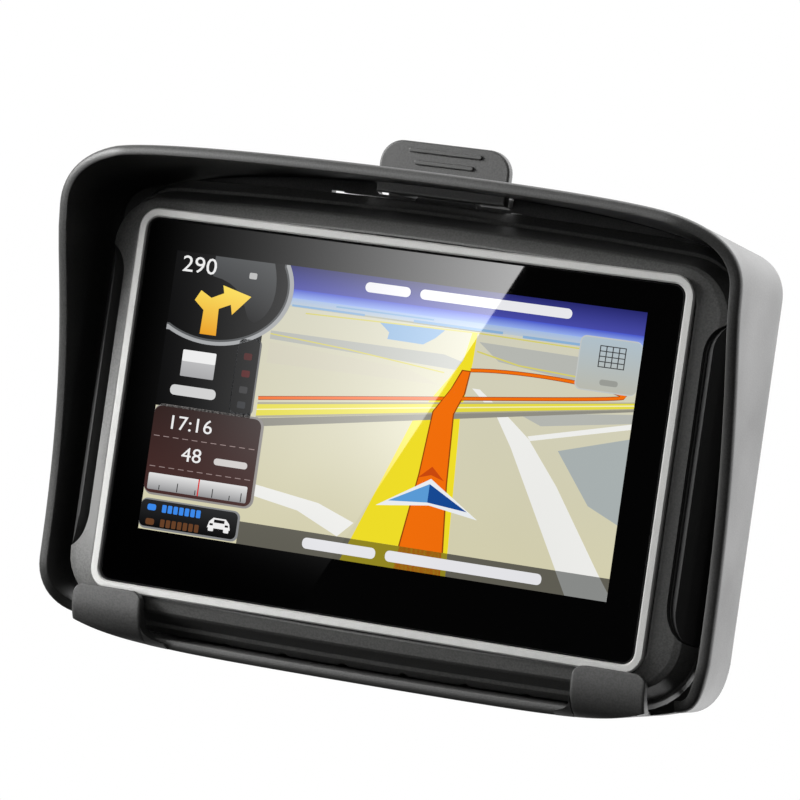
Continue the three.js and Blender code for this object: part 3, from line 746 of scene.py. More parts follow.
# ---- the cradle ----
HOOK_TOP = -36.6
PLATE_FRONT, PLATE_BACK = 22.5, 27.2
RAIL_HALF, RAIL_SAG, RAIL_EDGE, RAIL_TOP, RAIL_FRONT = 59.4, cradle.z0, -43.3, -45.3, 3.2


def arch(x):
    """The cradle's lower edge: a shallow arch that turns up at its ends."""
    share = np.minimum(np.abs(x) / RAIL_HALF, 1)
    return RAIL_SAG + (RAIL_EDGE - RAIL_SAG) * (0.12 * share**2 + 0.88 * share**7)


def plate_outline(inset):
    outline = round_rect(cradle.x1 - inset, 42 - inset, -46.4 + inset, 10 - inset, 10, 40, 10)
    low = outline[:, 1] < 0
    outline[low, 1] = np.maximum(outline[low, 1], arch(outline[low, 0]) + inset)
    return outline


def make_plate():
    rim, sunk = 2.4, PLATE_BACK - 2
    edge = [(PLATE_FRONT, 0.0), (PLATE_BACK, 0.0), (PLATE_BACK, rim), (sunk, rim)]
    chamfer = [(PLATE_FRONT, 0.6), (PLATE_FRONT + 0.2, 0.15)]
    profile = [*chamfer, *softened(edge, 0.5)[1:-1], (sunk, rim + 0.3)]
    return loft("cradle_body", [at_depth(plate_outline(inset), d) for d, inset in profile])


def make_rail():
    end, back = 52.5, 24.6
    rows = []
    for x in np.linspace(-end, end, 81):
        low, high = float(arch(x)), RAIL_TOP + CROWN_LOW * x * x
        corner = min(0.9, 0.4 * (high - low))
        section = [
            (back, high),
            (RAIL_FRONT, high),
            (RAIL_FRONT, low + corner),
            (RAIL_FRONT + corner, low),
            (back, low),
        ]
        rows.append(np.array([(x, d, z) for d, z in softened(section, 0.45, 3, closed=True)]))
    return loft("rail", rows)


def hook_lines(inset):
    """The hook's side view as (depth, height) lines, outside and inside, thinned by the inset."""
    outside = bezier([(-2.8, HOOK_TOP), (-2.95, -40.6), (-2.4, -45), (1.4, -46.9), (9, -48)], 60)
    inside = bezier([(-0.9, HOOK_TOP), (-0.85, -40.2), (-0.4, -43), (3, -45), (9, -45.5)], 60)
    return outside + (inset, 0), inside - (inset, 0)


def hook_row(x, top, low, inset):
    """One cross-section of the hook at x, cut off at its top and at the cradle's arch."""
    count, back = 22, 12.0

    def on(line, z):
        return (np.interp(-z, -line[:, 1], line[:, 0]), z)

    outside, inside = hook_lines(inset)
    outer = [on(outside, z) for z in np.linspace(top, low, count)]
    floor = max(low + 0.02, -45.45)
    if top > floor + 0.1:
        inner = [on(inside, z) for z in np.linspace(top, floor, count)]
    else:
        inner = [(d, top) for d in np.linspace(outer[0][0] + 0.5, back - 0.1, count)]
    under = low < floor - 0.05
    last = back if under else inner[-1][0]
    end = [(last, low), (last, min(floor - 0.05, top) if under else low + 0.01)]
    return np.array([(x, d, z) for d, z in softened([*outer, *end, *inner[::-1]], 0.5, 3, closed=True)])


def make_hook():
    """The right-hand hook: it wraps round the unit's lower corner, and flares at its foot."""
    inner_x, outer_x, r, soft = 43.9, 58.5, 2.4, 0.55
    flare = bezier([(inner_x - 4, -45.9), (inner_x, -45.3), (inner_x, -42.9)], 20)
    turn = [soft * (1 - math.cos(k * math.pi / 8)) for k in range(5)]
    stations = [*flare[:-1, 0], *(inner_x + t for t in turn)]
    stations += list(np.linspace(inner_x + soft, outer_x - soft, 40)[1:-1])
    stations += [outer_x - t for t in reversed(turn)]
    rows = []
    for x in stations:
        side = min(x - inner_x, outer_x - x)
        low = float(arch(x))
        if side < 0:
            rows.append(hook_row(x, float(np.interp(x, flare[:, 0], flare[:, 1])), low, 0.0))
            continue
        inset = 0.9 * (soft - math.sqrt(soft**2 - max(soft - side, 0) ** 2))
        top = HOOK_TOP - inset - r + math.sqrt(r * r - max(r - side, 0) ** 2)
        rows.append(hook_row(x, top, low, inset))
    return loft("hook", rows)


def make_cradle():
    body = make_plate()
    hook = make_hook()
    other = mirror_copy(hook, "hook_left")
    boss = round_box("boss", -24, 24, 25, cradle.d1, -24, 24, 4, 0.5)
    housing = round_box("inlet_housing", inlet.x - 5.8, inlet.x + 5.8, 25, cradle.d1, -44.2, -30.6, 1.5, 0.5)
    ears = []
    for u in (1, -1):
        near, far = sorted((11.6 * u, 15 * u))
        ears.append(round_box("ear", near, far, 22.6, 26.8, 39, pin.z, 0.3, 0.2))
        ears.append(rod("eye", (0, pin.d, pin.z), "x", near, far, 3.0, 0.25))
    join(body, make_rail(), hook, other, boss, housing, *ears)
    seat = (block.x0 - GAP, block.x1 + GAP, 20, 40, block.z0 - GAP, block.z1 + GAP)
    holes = [
        round_box("port_window", 21, 56, 20, 40, -37, -19, 3, 0.1),
        rod("speaker_window", (-41, 0, 8), "d", 20, 40, 11, sides=64),
        round_box("contact_window", *seat, 0.4, 0.1),
        rod("inlet_bore", (inlet.x, inlet.d, 0), "z", -46, inlet.z1 + 0.4, 4.2),
        pin_bore(),
        *four_bores(insert, 26.2, 40, 3.2),
        *four_bores(hood_screw, 20, 40, SCREW_BORE),
    ]
    cut(body, *holes)
    return finish_piece(body, "root", "cradle_plastic", "cradle")


# ---- the release latch ----
def make_latch():
    w, r, floor, d0 = latch.x1, 4.5, 46.1, 10.5

    def tab_outline(inset):
        outline = round_rect(w - inset, latch.z1 - inset, floor - 6, r - inset, 10, 10, 6)
        outline[:, 1] = np.maximum(outline[:, 1], floor + inset)
        return outline

    tab = slab("latch_lever", tab_outline, d0, d0 + 2.4, 0.45)
    parts = [round_box("arm", -11, 11, d0 + 0.6, pin.d, floor, floor + 2.2, 0.5, 0.3)]
    for half, z in ((7.5, 54.8), (6.1, 52.5)):
        parts.append(round_box("ridge", -half, half, d0 - 0.5, d0 + 0.3, z - 0.45, z + 0.45, 0.44, 0.2, 4))
    for u in (1, -1):
        x0, x1 = sorted((8 * u, 9.4 * u))
        rib = [(12.2, 47.8), (18.5, 47.9), (12.2, 53)]
        parts.append(across_x("rib", rib, x0, x1))
    tooth = [(14.2, 44.9), (16.6, 42.8), (17.3, 43.2), (17.3, 46.6), (14.2, 46.6)]
    parts.append(across_x("tooth", softened(tooth, 0.3, 2, closed=True), -6, 6))
    parts.append(rod("knuckle", (0, pin.d, pin.z), "x", -11.3, 11.3, 2.7, 0.25))
    join(tab, *parts)
    cut(
        tab,
        round_box("spring_slot", -4.6, 4.6, 20.6, 30, 40, 55, 0.2, 0.05),
        pin_bore(),
    )
    return finish_piece(tab, "latch", "cradle_plastic", "release_latch", angle=38)


def make_latch_spring():
    """A torsion coil about the pin: a leg forwards, the turns, and a tail down."""
    r, coil, turns, half, leg, tail = 0.25, 1.9, 5, 3.6, 7, 4
    path = [(-half, pin.d - leg + k, pin.z + coil) for k in range(leg)]
    steps = 24 * turns + 6
    for k in range(steps + 1):
        angle = k / 24 * 2 * math.pi
        x = -half + 2 * half * k / steps
        path.append((x, pin.d + coil * math.sin(angle), pin.z + coil * math.cos(angle)))
    x, d, z = path[-1]
    path += [(x, d, z - k) for k in range(1, tail + 1)]
    piece = tube_along("latch_torsion_spring", path, r)
    return finish_piece(piece, "latch", "steel", "latch_spring", angle=60)


def make_latch_pin():
    piece = rod("latch_hinge_pin", (0, pin.d, pin.z), "x", pin.x0, pin.x1, 1.0, 0.25, 40)
    return finish_piece(piece, "root", "steel", "latch_pin")


# ---- fasteners and small parts ----
def polar(centre, radius, angles):
    return np.column_stack([centre[0] + radius * np.cos(angles), centre[1] + radius * np.sin(angles)])


def drive_hole(name, centre, d0, d1, r):
    """A six-lobed drive socket."""
    angles = np.arange(48) * 2 * math.pi / 48
    outline = polar(centre, r * (0.86 + 0.14 * np.cos(6 * angles)), angles)
    return loft(name, [at_depth(outline, d0), at_depth(outline, d1)])


def make_screw(node, piece_name, head_high, drive):
    """A pan head over a threaded shank, its head facing backwards."""
    box = Span(node)
    head_r = (box.x1 - box.x0) / 2
    shank_r = head_r * 0.46
    seat = box.d1 - head_high
    root_r = shank_r * 0.8
    profile = [(box.d0, shank_r * 0.35), (box.d0 + 1, root_r)]
    for k in range(int((seat - box.d0 - 2) / PITCH)):
        start = box.d0 + 1 + k * PITCH
        profile += [(start + 0.1, root_r), (start + PITCH / 2, shank_r), (start + PITCH - 0.1, root_r)]
    profile += [(seat, shank_r), (seat, head_r - 0.1), (seat + 0.15, head_r)]
    dome = [(head_high * 0.55, 0.97), (0.12, 0.72), (0, 0.5)]
    profile += [(box.d1 - below, head_r * share) for below, share in dome]
    piece = turned(piece_name, profile, (box.x, 0, box.z), "d", 32)
    cut(piece, drive_hole("drive", (box.x, box.z), box.d1 - head_high * 0.6, box.d1 + 1, drive))
    return finish_piece(piece, "root", "dark_steel", node)


def make_insert(node):
    """A brass insert: knurled outside, with a threaded bore that opens backwards."""
    box = Span(node)
    r = (box.x1 - box.x0) / 2
    steps = np.arange(72)
    plain, knurled = np.full(72, 0.93 * r), r * (1 - 0.03 * (steps % 3 == 0))
    sides = [(box.d0, plain), (box.d0 + 0.4, knurled), (box.d1 - 0.5, knurled)]
    sides += [(box.d1 - 0.35, plain), (box.d1, plain)]
    rows = [at_depth(polar((box.x, box.z), radius, steps * 2 * math.pi / 72), d) for d, radius in sides]
    piece = loft(node + "_brass", rows)
    crest_r, root_r = 1.65, 1.95
    bore = [(box.d0 - 1, crest_r)]
    for k in range(int((box.d1 - box.d0) / PITCH)):
        start = box.d0 + k * PITCH
        bore += [(start, crest_r), (start + PITCH / 2, root_r)]
    bore += [(box.d1 - 0.3, root_r), (box.d1 + 0.5, 2.5)]
    cut(piece, turned("bore", bore, (box.x, 0, box.z), "d", 40))
    return finish_piece(piece, "root", "brass", node)


def make_inlet():
    """The power socket: a barrel open at its foot, with a pin on its axis."""
    r, bore, core = 3.9, 2.75, 0.65
    low, top = inlet.z0, inlet.z1
    deep = low + 8.8
    profile = [
        (top, 0.01), (top, r - 0.3), (top - 0.3, r), (low + 0.3, r), (low, r - 0.3), (low, bore + 0.3),
        (low + 0.3, bore), (deep, bore), (deep, core), (low + 1.4, core), (low + 1, 0.01),
    ]
    piece = turned("power_inlet_socket", profile, (inlet.x, inlet.d, 0), "z", 40)
    return finish_piece(piece, "root", "black_plastic", "power_inlet")


def make_button():
    box = Span("power_button")
    cap = round_box("power_key", -36 - 4.5, -36 + 4.5, 17.3, 20.7, 39.6, box.z1, 0.5, 0.6)
    flange = round_box("flange", box.x0, box.x1, box.d0, box.d1, box.z0, box.z0 + 0.9, 0.2, 0.15)
    join(cap, flange)
    for x in (-38, -36, -34):
        cut(cap, round_box("bar", x - 0.35, x + 0.35, 17.9, 20.1, box.z1 - 0.35, box.z1 + 0.25, 0.3, 0.25))
    return finish_piece(cap, "power_button", "soft_rubber", "power_button")


def make_port_cover():
    box = Span("port_cover")
    flap = round_box("port_flap", box.x0, box.x1, box.d0, 22.2, box.z0, box.z1, 0.8, 0.25)
    ribs = [round_box("rib", x, x + 0.8, 22.0, box.d1, -31, -25, 0.35, 0.2) for x in (45, 46.8, 48.6)]
    join(flap, *ribs)
    return finish_piece(flap, "port_cover", "soft_rubber", "port_cover")


def make_contact_pins():
    tip = ((0, 0.15), (0.08, 0.36), (0.5, 0.72), (0.6, 0.75))
    for k in range(1, 5):
        node = f"contact_pin_{k}"
        box = Span(node)
        profile = [*((box.d0 + along, r) for along, r in tip), (box.d1, 0.75)]
        piece = turned(f"sprung_pin_{k}", profile, (box.x, 0, box.z), "d", 32)
        finish_piece(piece, "contact_pins", "gold_contact", node)


# ---- the map page on the screen ----
LEFT, RIGHT, TOP, BOTTOM = -48.2, 47.5, 27.0, -27.0


class Page:
    """Thin closed plates just in front of the glass, in (u, v) millimetres from the screen's centre."""

    # the page's centre in (x, z), how far one layer stands off another, and how broad the digits are
    CENTRE = (0.35, 2.47)
    SKIN = 0.016
    BROAD = 1.12

    def __init__(self):
        self.points, self.faces, self.colours = [], [], []

    def prism(self, points, caps, rim, colours, layer):
        """Stands flat faces off the glass. rim lists the pairs of points along their open edges."""
        start, count = len(self.points), len(points)
        for d in (0.0, -self.SKIN * layer):
            self.points += [(u + self.CENTRE[0], d, v + self.CENTRE[1]) for u, v in points]
        for first in (start, start + count):
            self.faces += [tuple(first + i for i in cap) for cap in caps]
        self.faces += [(start + i, start + j, start + count + j, start + count + i) for i, j in rim]
        self.colours += colours * 2

    def plate(self, outline, colour, layer):
        """colour is one colour, or a function of (u, v) that gives one."""
        count = len(outline)
        rim = [(i, (i + 1) % count) for i in range(count)]
        colours = [colour(u, v) if callable(colour) else colour for u, v in outline]
        self.prism(outline, [range(count)], rim, colours, layer)

    def box(self, u0, u1, v0, v1, colour, layer, r=0.0):
        outline = [(u0, v0), (u1, v0), (u1, v1), (u0, v1)]
        if r:
            w, h = (u1 - u0) / 2, (v1 - v0) / 2
            outline = round_rect(w, h, -h, r, 5, 1, 1) + ((u0 + u1) / 2, (v0 + v1) / 2)
        self.plate(outline, colour, layer)

    def band(self, line, width, colour, layer):
        """A stripe along a line of points."""
        line = np.array(line, float)
        across = normals(line) * (width / 2)
        self.plate(np.concatenate([line + across, (line - across)[::-1]]), colour, layer)

    def figures(self, text, u, v, height, colour, layer):
        """Digits, with their left edge at u and their foot at v."""
        curve = bpy.data.curves.new("figures", "FONT")
        curve.body = text
        curve.resolution_u = 3
        holder = placed("figures", curve)
        bm = bmesh.new()
        bm.from_mesh(final_mesh(holder))
        bpy.data.objects.remove(holder)
        bmesh.ops.remove_doubles(bm, verts=bm.verts, dist=1e-5)
        bm.verts.index_update()
        points = np.array([p.co[:2] for p in bm.verts])
        low = points.min(axis=0)
        scale = height / (points[:, 1].max() - low[1])
        points = (points - low) * (self.BROAD * scale, scale) + (u, v)
        caps = [[p.index for p in face.verts] for face in bm.faces]
        rim = [[p.index for p in edge.verts] for edge in bm.edges if edge.is_boundary]
        bm.free()
        self.prism(points, caps, rim, [colour] * len(points), layer)

    def build(self, name):
        piece = make_mesh(name, self.points, self.faces, merge=False)
        layer = piece.data.color_attributes.new("page", "FLOAT_COLOR", "POINT")
        for i, colour in enumerate(self.colours):
            layer.data[i].color = (*colour, 1)
        return piece


def rgb(r, g, b):
    """A screen colour, 0 to 255 a channel, in linear light."""
    return tuple((c / 255 / 12.92) if c <= 10 else ((c / 255 + 0.055) / 1.055) ** 2.4 for c in (r, g, b))


def fade(low, v0, high, v1):
    """A colour that runs from low at height v0 to high at v1."""

    def colour(u, v):
        t = min(max((v - v0) / (v1 - v0), 0), 1)
        return tuple(a + (b - a) * t for a, b in zip(low, high))

    return colour


def draw_ground(page):
    land = rgb(218, 213, 179)
    page.box(LEFT, RIGHT, BOTTOM, 19.5, fade(land, -10, rgb(212, 210, 190), 19), 1)
    page.box(LEFT, RIGHT, 20.9, 22.6, fade(rgb(150, 175, 240), 20.9, rgb(70, 85, 205), 22.6), 1)
    page.box(LEFT, RIGHT, 19.2, 20.9, fade(rgb(196, 205, 205), 19.2, rgb(165, 190, 230), 20.9), 1)
    page.box(LEFT, RIGHT, 22.6, TOP, fade(rgb(72, 76, 170), 22.6, rgb(38, 40, 110), TOP), 1)
    water, field, stone = rgb(140, 178, 215), rgb(184, 186, 180), rgb(172, 180, 180)
    page.plate([(-5, 18.7), (8.5, 18.7), (6.8, 17), (4.5, 15.5), (-2.8, 15.6), (-2.6, 16.9)], water, 2)
    ponds = ((-23, -8, 19.3, 19.7), (2, 20, 19.4, 19.9), (24, 46, 19.2, 19.7), (-14, 6, 20.2, 20.5))
    for pond in ponds:
        page.box(*pond, water, 2)
    page.plate([(-26.6, 12.6), (-26.6, 14.2), (9, 14.2), (13, 13.2), (12, 11.6)], field, 2)
    page.plate([(15.6, 17.4), (RIGHT, 17), (RIGHT, 12.7), (33, 12.8), (20, 14.2)], field, 2)
    page.plate([(34, -0.7), (RIGHT, 3.3), (RIGHT, -12.7), (41.3, -10)], stone, 2)
    page.plate([(25, 5.2), (RIGHT, 7.9), (RIGHT, 6.2), (30, 3.4)], field, 2)
    page.plate([(-26.6, 8), (-26.6, 12), (2, 10.6), (9, 8.4)], rgb(212, 208, 188), 2)
    thin = rgb(216, 208, 110)
    page.band([(-26.6, 13.6), (-10, 12.6), (9.5, 10.8)], 0.25, thin, 3)
    page.band([(15.4, 15.6), (24, 14), (36, 13.4), (RIGHT, 12.9)], 0.3, thin, 3)
    page.band([(-20, 18.3), (14.5, 19), (44, 18.6)], 0.25, thin, 3)


def clip_below(outline, level):
    """The part of an outline below a height."""
    out = []
    outline = [tuple(map(float, p)) for p in outline]
    for (u0, v0), (u1, v1) in zip(outline, outline[1:] + outline[:1]):
        if v0 <= level:
            out.append((u0, v0))
        if (v0 - level) * (v1 - level) < 0:
            out.append((u0 + (u1 - u0) * (level - v0) / (v1 - v0), level))
    return out


def draw_roads(page):
    white, yellow, orange = rgb(243, 243, 240), rgb(244, 226, 40), rgb(246, 112, 8)
    edge, shadow, footer = rgb(150, 70, 12), rgb(146, 144, 134), -22.7
    branch = [(27.7, 1.2), (RIGHT, 6.1), (RIGHT, 5.1), (28.3, 0.4)]
    right_road = [
        (15.5, 8.6), (21.2, 3.9), (24.7, -1.3), (39.3, BOTTOM), (RIGHT, BOTTOM), (RIGHT, -25.3),
        (45, -22), (34.7, -7.3), (28, 0.7), (23.3, 4.3), (17, 8.6),
    ]
    left_road = [(-26, -15.2), (-12, -17), (-4.3, -19.7), (-7.3, -22.7), (-16, -19), (-26, -17.4)]
    for outline in (branch, right_road, left_road):
        page.plate(outline, white, 4)
    main = [
        (14, 19), (15, 19), (14.9, 13.3), (13.9, 3.3), (15.5, BOTTOM),
        (-6, BOTTOM), (4.7, 1.3), (10.7, 10), (13, 13.7),
    ]
    page.plate(main, yellow, 5)
    ramp = [(-27.2, -2.8), (RIGHT, 8.9), (RIGHT, 8.4), (-27.2, -4.4)]
    page.plate(ramp, shadow, 6)
    page.plate([(-27.2, 0.3), (RIGHT, 10.2), (RIGHT, 8.8), (-27.2, -2.7)], rgb(176, 172, 150), 6)
    page.plate([(-27.2, -0.1), (RIGHT, 10.0), (RIGHT, 9.0), (-27.2, -2.3)], rgb(232, 222, 70), 7)
    page.band([(-27.2, -1.1), (RIGHT, 9.55)], 0.22, rgb(246, 240, 190), 8)
    loop = bezier([(14.7, 11.9), (24, 13.2), (42, 12.6), (45.6, 10.9)], 14, last=False)
    back = bezier([(45.6, 10.9), (44, 10), (20, 7.4), (-27.2, 1.1)], 20)
    line = np.concatenate([loop, back])
    page.band(line, 0.75, edge, 8)
    page.band(line, 0.5, orange, 9)
    route = [
        (13, 11.8), (14.8, 11.8), (14.3, 7.3), (12.7, 3.3), (13.3, -10),
        (14.8, BOTTOM), (4.7, BOTTOM), (7.3, -8.7), (8.3, 3.3), (11.3, 8),
    ]
    page.plate(route, edge, 9)
    inner = [
        (13.2, 11.6), (14.6, 11.6), (14.05, 7.3), (12.45, 3.3), (13.05, -10),
        (14.5, BOTTOM), (5.0, BOTTOM), (7.55, -8.7), (8.55, 3.3), (11.5, 8),
    ]
    page.plate(inner, orange, 10)
    page.plate([(9.9, -7), (12.6, -9.4), (9.9, -8.6), (7.3, -9.4)], rgb(205, 74, 12), 11)
    page.box(-27.5, RIGHT, BOTTOM, footer, rgb(98, 96, 86), 5)
    dimmed = ((right_road, (140, 142, 140)), (main, (150, 138, 34)), (inner, (160, 82, 14)))
    for outline, colour in dimmed:
        page.plate(clip_below(outline, footer), rgb(*colour), 12)


def draw_arrow(page):
    page.plate([(10, -9.3), (20.1, -15.7), (10.3, -14.3), (-0.3, -15.7)], rgb(240, 243, 246), 13)
    page.plate([(9.9, -10.3), (9.9, -13.8), (2, -14.5)], rgb(92, 158, 218), 14)
    page.plate([(9.9, -10.3), (18, -14.5), (9.9, -13.8)], rgb(22, 74, 150), 14)


def dial(u, v, w, h):
    """The lower right part of an ellipse, as far as the page's top left corner."""
    angles = np.linspace(-math.pi * 0.72, math.pi * 0.19, 48)
    arc = np.column_stack([u + w * np.cos(angles), v + h * np.sin(angles)])
    arc = arc[(arc[:, 0] > LEFT) & (arc[:, 1] < TOP)]
    return [(LEFT, arc[0][1]), *arc, (arc[-1][0], TOP), (LEFT, TOP)]


def draw_panels(page):
    silver, black, white = rgb(170, 172, 174), rgb(18, 18, 20), rgb(244, 244, 244)
    page.box(LEFT, -28.3, -3, 14, fade(rgb(3, 3, 4), -3, rgb(8, 8, 9), 14), 13)
    page.box(-32.9, -28, -2.6, 12.2, rgb(112, 113, 115), 13, 1.2)
    page.box(-32.7, -28.3, -2.3, 11.9, fade(rgb(8, 8, 9), -2, rgb(16, 16, 17), 12), 14, 1.1)
    signs = ((8.6, (78, 24, 24)), (5.3, (88, 20, 22)), (2.2, (58, 58, 60)), (-0.7, (50, 52, 56)))
    for v, colour in signs:
        page.box(-31.3, -29.6, v - 0.65, v + 0.65, rgb(*colour), 15, 0.3)
    page.box(-44, -37, 3.2, 8.3, fade(rgb(170, 170, 172), 3.2, rgb(205, 205, 206), 5.6), 14, 0.2)
    page.box(-44, -37, 6.1, 8.3, white, 15, 0.2)
    page.box(-45.6, -36, -0.6, 1.4, rgb(214, 214, 214), 14, 0.9)

    page.plate(dial(-39, 22, 15.9, 12.2), silver, 14)
    page.plate(dial(-39, 22, 15.1, 11.5), rgb(88, 90, 92), 15)
    page.plate(dial(-39, 22, 14.7, 11.1), fade(rgb(4, 4, 5), 12, rgb(14, 14, 15), 26), 16)
    gleam = bezier([(-40, 23), (-31, 22), (-33.5, 15), (-30, 15.2)], 12, last=False)
    shoulder = bezier([(-30, 15.2), (-26.6, 17), (-25.8, 22), (-27.6, 26.9)], 10)
    page.plate([*gleam, *shoulder, (-40, 26.9)], fade(rgb(14, 14, 16), 15, rgb(84, 86, 88), TOP), 17)
    page.figures("290", -46.6, 23.2, 3.1, white, 19)
    page.box(-32.5, -30.9, 23.4, 24.6, rgb(190, 190, 190), 19, 0.3)
    turn = [
        (-41.1, 11.7), (-41, 16.3), (-43.1, 18), (-42, 20), (-39.7, 18.8), (-37.2, 20),
        (-37.6, 21.5), (-31.5, 20), (-35, 16.1), (-35.5, 18), (-37.9, 16.9), (-37.7, 11.7),
    ]
    page.plate(turn, fade(rgb(240, 164, 24), 12, rgb(255, 226, 92), 21), 18)

    rim, brown = rgb(150, 146, 144), fade(rgb(74, 46, 44), -20, rgb(50, 32, 30), -2.6)
    page.box(LEFT, -25.2, -20.2, -2.6, rim, 13, 1.8)
    page.box(LEFT, -25.7, -19.8, -3.0, brown, 14, 1.5)
    page.figures("17:16", -44.3, -7.2, 2.7, white, 16)
    page.figures("48", -41.3, -13.0, 2.7, white, 16)
    page.box(-34.4, -27.4, -12.8, -11.5, rgb(214, 210, 208), 16, 0.6)
    for v in (-8.8, -14.7):
        for k in range(11):
            page.box(-47.6 + 2 * k, -46.4 + 2 * k, v - 0.07, v + 0.07, rgb(160, 140, 138), 15)
    page.box(-47.5, -26.7, -19.2, -16, fade(rgb(150, 150, 152), -19.2, rgb(232, 232, 232), -16), 15, 0.3)
    for k, u in enumerate((-45, -41.2, -37.4, -33.8, -30.2, -27.8)):
        page.box(u - 0.09, u + 0.09, -19.1, -17.4 if k % 2 else -18.2, rgb(40, 40, 42), 16)
    page.box(-36.95, -36.7, -19.2, -16, rgb(220, 30, 30), 17)

    page.box(LEFT, -27.4, -26.8, -20.9, rgb(136, 138, 140), 13, 1.3)
    page.box(LEFT, -27.8, -26.4, -21.2, fade(rgb(10, 10, 11), -26, rgb(40, 41, 43), -21), 14, 1.1)
    for v, colour in ((-22.6, rgb(60, 140, 240)), (-25.4, rgb(104, 66, 40))):
        page.box(-46.8, -45, v - 0.6, v + 0.6, colour, 15, 0.4)
        for k in range(7):
            page.box(-43.7 + 1.2 * k, -42.8 + 1.2 * k, v - 0.75, v + 0.75, colour, 15, 0.2)
    car = [(-33.9, -24.8), (-33.6, -23.6), (-32.8, -22.8), (-30.2, -22.8), (-29.4, -23.6), (-29.1, -24.8)]
    page.plate(car, white, 15)
    page.box(-32.6, -30.4, -23.7, -23.1, black, 16, 0.1)
    for u in (-33.1, -29.9):
        page.box(u - 0.55, u + 0.55, -25.4, -24.4, white, 15, 0.2)
        page.box(u - 0.35, u + 0.35, -24.3, -23.9, black, 16, 0.1)


def draw_labels(page):
    """Blank bars where names would stand, and the outlined button with its grid."""
    pale, dark = rgb(236, 236, 240), rgb(60, 60, 62)
    for u0, u1 in ((-8.6, 0.6), (2.6, 33)):
        page.box(u0, u1, 23.9, 25.8, pale, 13, 0.9)
    for u0, u1 in ((-14, 1), (3, 34.4)):
        page.box(u0, u1, -25.9, -23.8, pale, 14, 0.9)
    frame_line = rgb(196, 200, 198)
    page.box(35.4, RIGHT, 11.2, 21.4, frame_line, 13, 1.2)
    page.box(35.65, RIGHT, 11.45, 21.15, fade(rgb(188, 188, 176), 11, rgb(178, 194, 204), 21), 14, 1.0)
    for k in range(5):
        at = 39.4 + k * 1.25
        page.box(at, at + 0.2, 15.8, 19.9, dark, 15)
        page.box(39.4, 44.6, 15.8 + k * 0.98, 15.98 + k * 0.98, dark, 15)
    page.box(40.2, 43.8, 12.5, 13.6, rgb(156, 158, 152), 15, 0.5)


def make_screen():
    page = Page()
    draw_ground(page)
    draw_roads(page)
    draw_arrow(page)
    draw_panels(page)
    draw_labels(page)
    piece = page.build("screen_picture")
    piece.data.materials.append(lit_screen())
    piece.visible_diffuse = False
    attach(piece, "root")
    return piece


# ---- stage ----
def stage_face(name, outline):
    """A one-sided face that belongs to the studio, not to the object."""
    data = bpy.data.meshes.new(name)
    data.from_pydata(outline, [], [tuple(range(len(outline)))])
    face = placed(name, data)
    face.visible_diffuse = False
    return face


def make_floor():
    """A pale disc that takes the shadow, and melts into the backdrop at its edge."""
    low = cad_box[0][2] - 0.075
    sides, radius = 96, 1.2
    angles = [2 * math.pi * k / sides for k in range(sides)]
    floor = stage_face("floor", [(radius * math.cos(a), radius * math.sin(a), low) for a in angles])
    floor.visible_glossy = False
    look = Look("floor", Roughness=0.7)
    look.set(Base_Color=look.blend(look.noise(6, 3), (0.8, 0.8, 0.8), (0.84, 0.84, 0.84)))
    flat = look.add("VectorMath", {0: look.coords, 1: (1, 1, 0)}, operation="MULTIPLY").outputs["Vector"]
    away = look.add("VectorMath", {0: flat}, operation="LENGTH").outputs["Value"]
    ends = {1: look.shader.outputs[0], 2: look.add("Emission").outputs[0]}
    mix = look.add("MixShader", {0: look.mapped(away, 0.16, 0.4, 0, 1), **ends})
    look.put(mix.outputs[0], look.tree.nodes["Material Output"].inputs["Surface"])
    floor.data.materials.append(look.material)


def make_world():
    """White to the camera. As a light it is dim, and bright only behind, most of all to the right."""
    back_glow, sky_glow, base_glow = 2.9, 0.4, 0.02
    world = bpy.data.worlds.new("studio")
    bpy.context.scene.world = world
    nodes = Nodes(world)
    nodes.tree.nodes.clear()
    x, y, z = nodes.add("SeparateXYZ", {0: nodes.add("TexCoord").outputs["Generated"]}).outputs
    behind, to_right = nodes.mapped(y, 0.1, 0.75, 0, 1), nodes.mapped(x, -0.45, 0.1, 0.3, 1)
    above, high = nodes.mapped(z, -0.75, -0.45, 0, 1), nodes.mapped(z, 0.1, 0.9, 0, 1)
    back = nodes.math("MULTIPLY", nodes.math("MULTIPLY", behind, to_right), above)
    glows = (nodes.math("MULTIPLY", back, back_glow), nodes.math("MULTIPLY", high, sky_glow))
    level = nodes.math("ADD", nodes.math("ADD", *glows), base_glow)
    surround = nodes.add("Background", {"Strength": level})
    backdrop = nodes.add("Background")
    for node in (surround, backdrop):
        node.inputs["Color"].default_value = (1, 1, 1, 1)
    seen = nodes.add("LightPath").outputs["Is Camera Ray"]
    mix = nodes.add("MixShader", {0: seen, 1: surround.outputs[0], 2: backdrop.outputs[0]})
    nodes.add("OutputWorld", {"Surface": mix.outputs[0]})


def softbox(name, place, aim, size, power):
    light = bpy.data.lights.new(name, "AREA")
    light.shape = "RECTANGLE"
    light.size, light.size_y = size
    light.energy = power
    lamp = placed(name, light)
    lamp.location = place
    lamp.rotation_mode = "QUATERNION"
    lamp.rotation_quaternion = (Vector(aim) - Vector(place)).to_track_quat("-Z", "Y")
    lamp.visible_camera = False
    return lamp


def keep_off(lamp, pieces):
    """Stops the lamp from lighting some pieces."""
    unlit = bpy.data.collections.new("unlit_by_" + lamp.name)
    for piece in pieces:
        unlit.objects.link(piece)
    for member in unlit.collection_objects:
        member.light_linking.link_state = "EXCLUDE"
    lamp.light_linking.receiver_collection = unlit


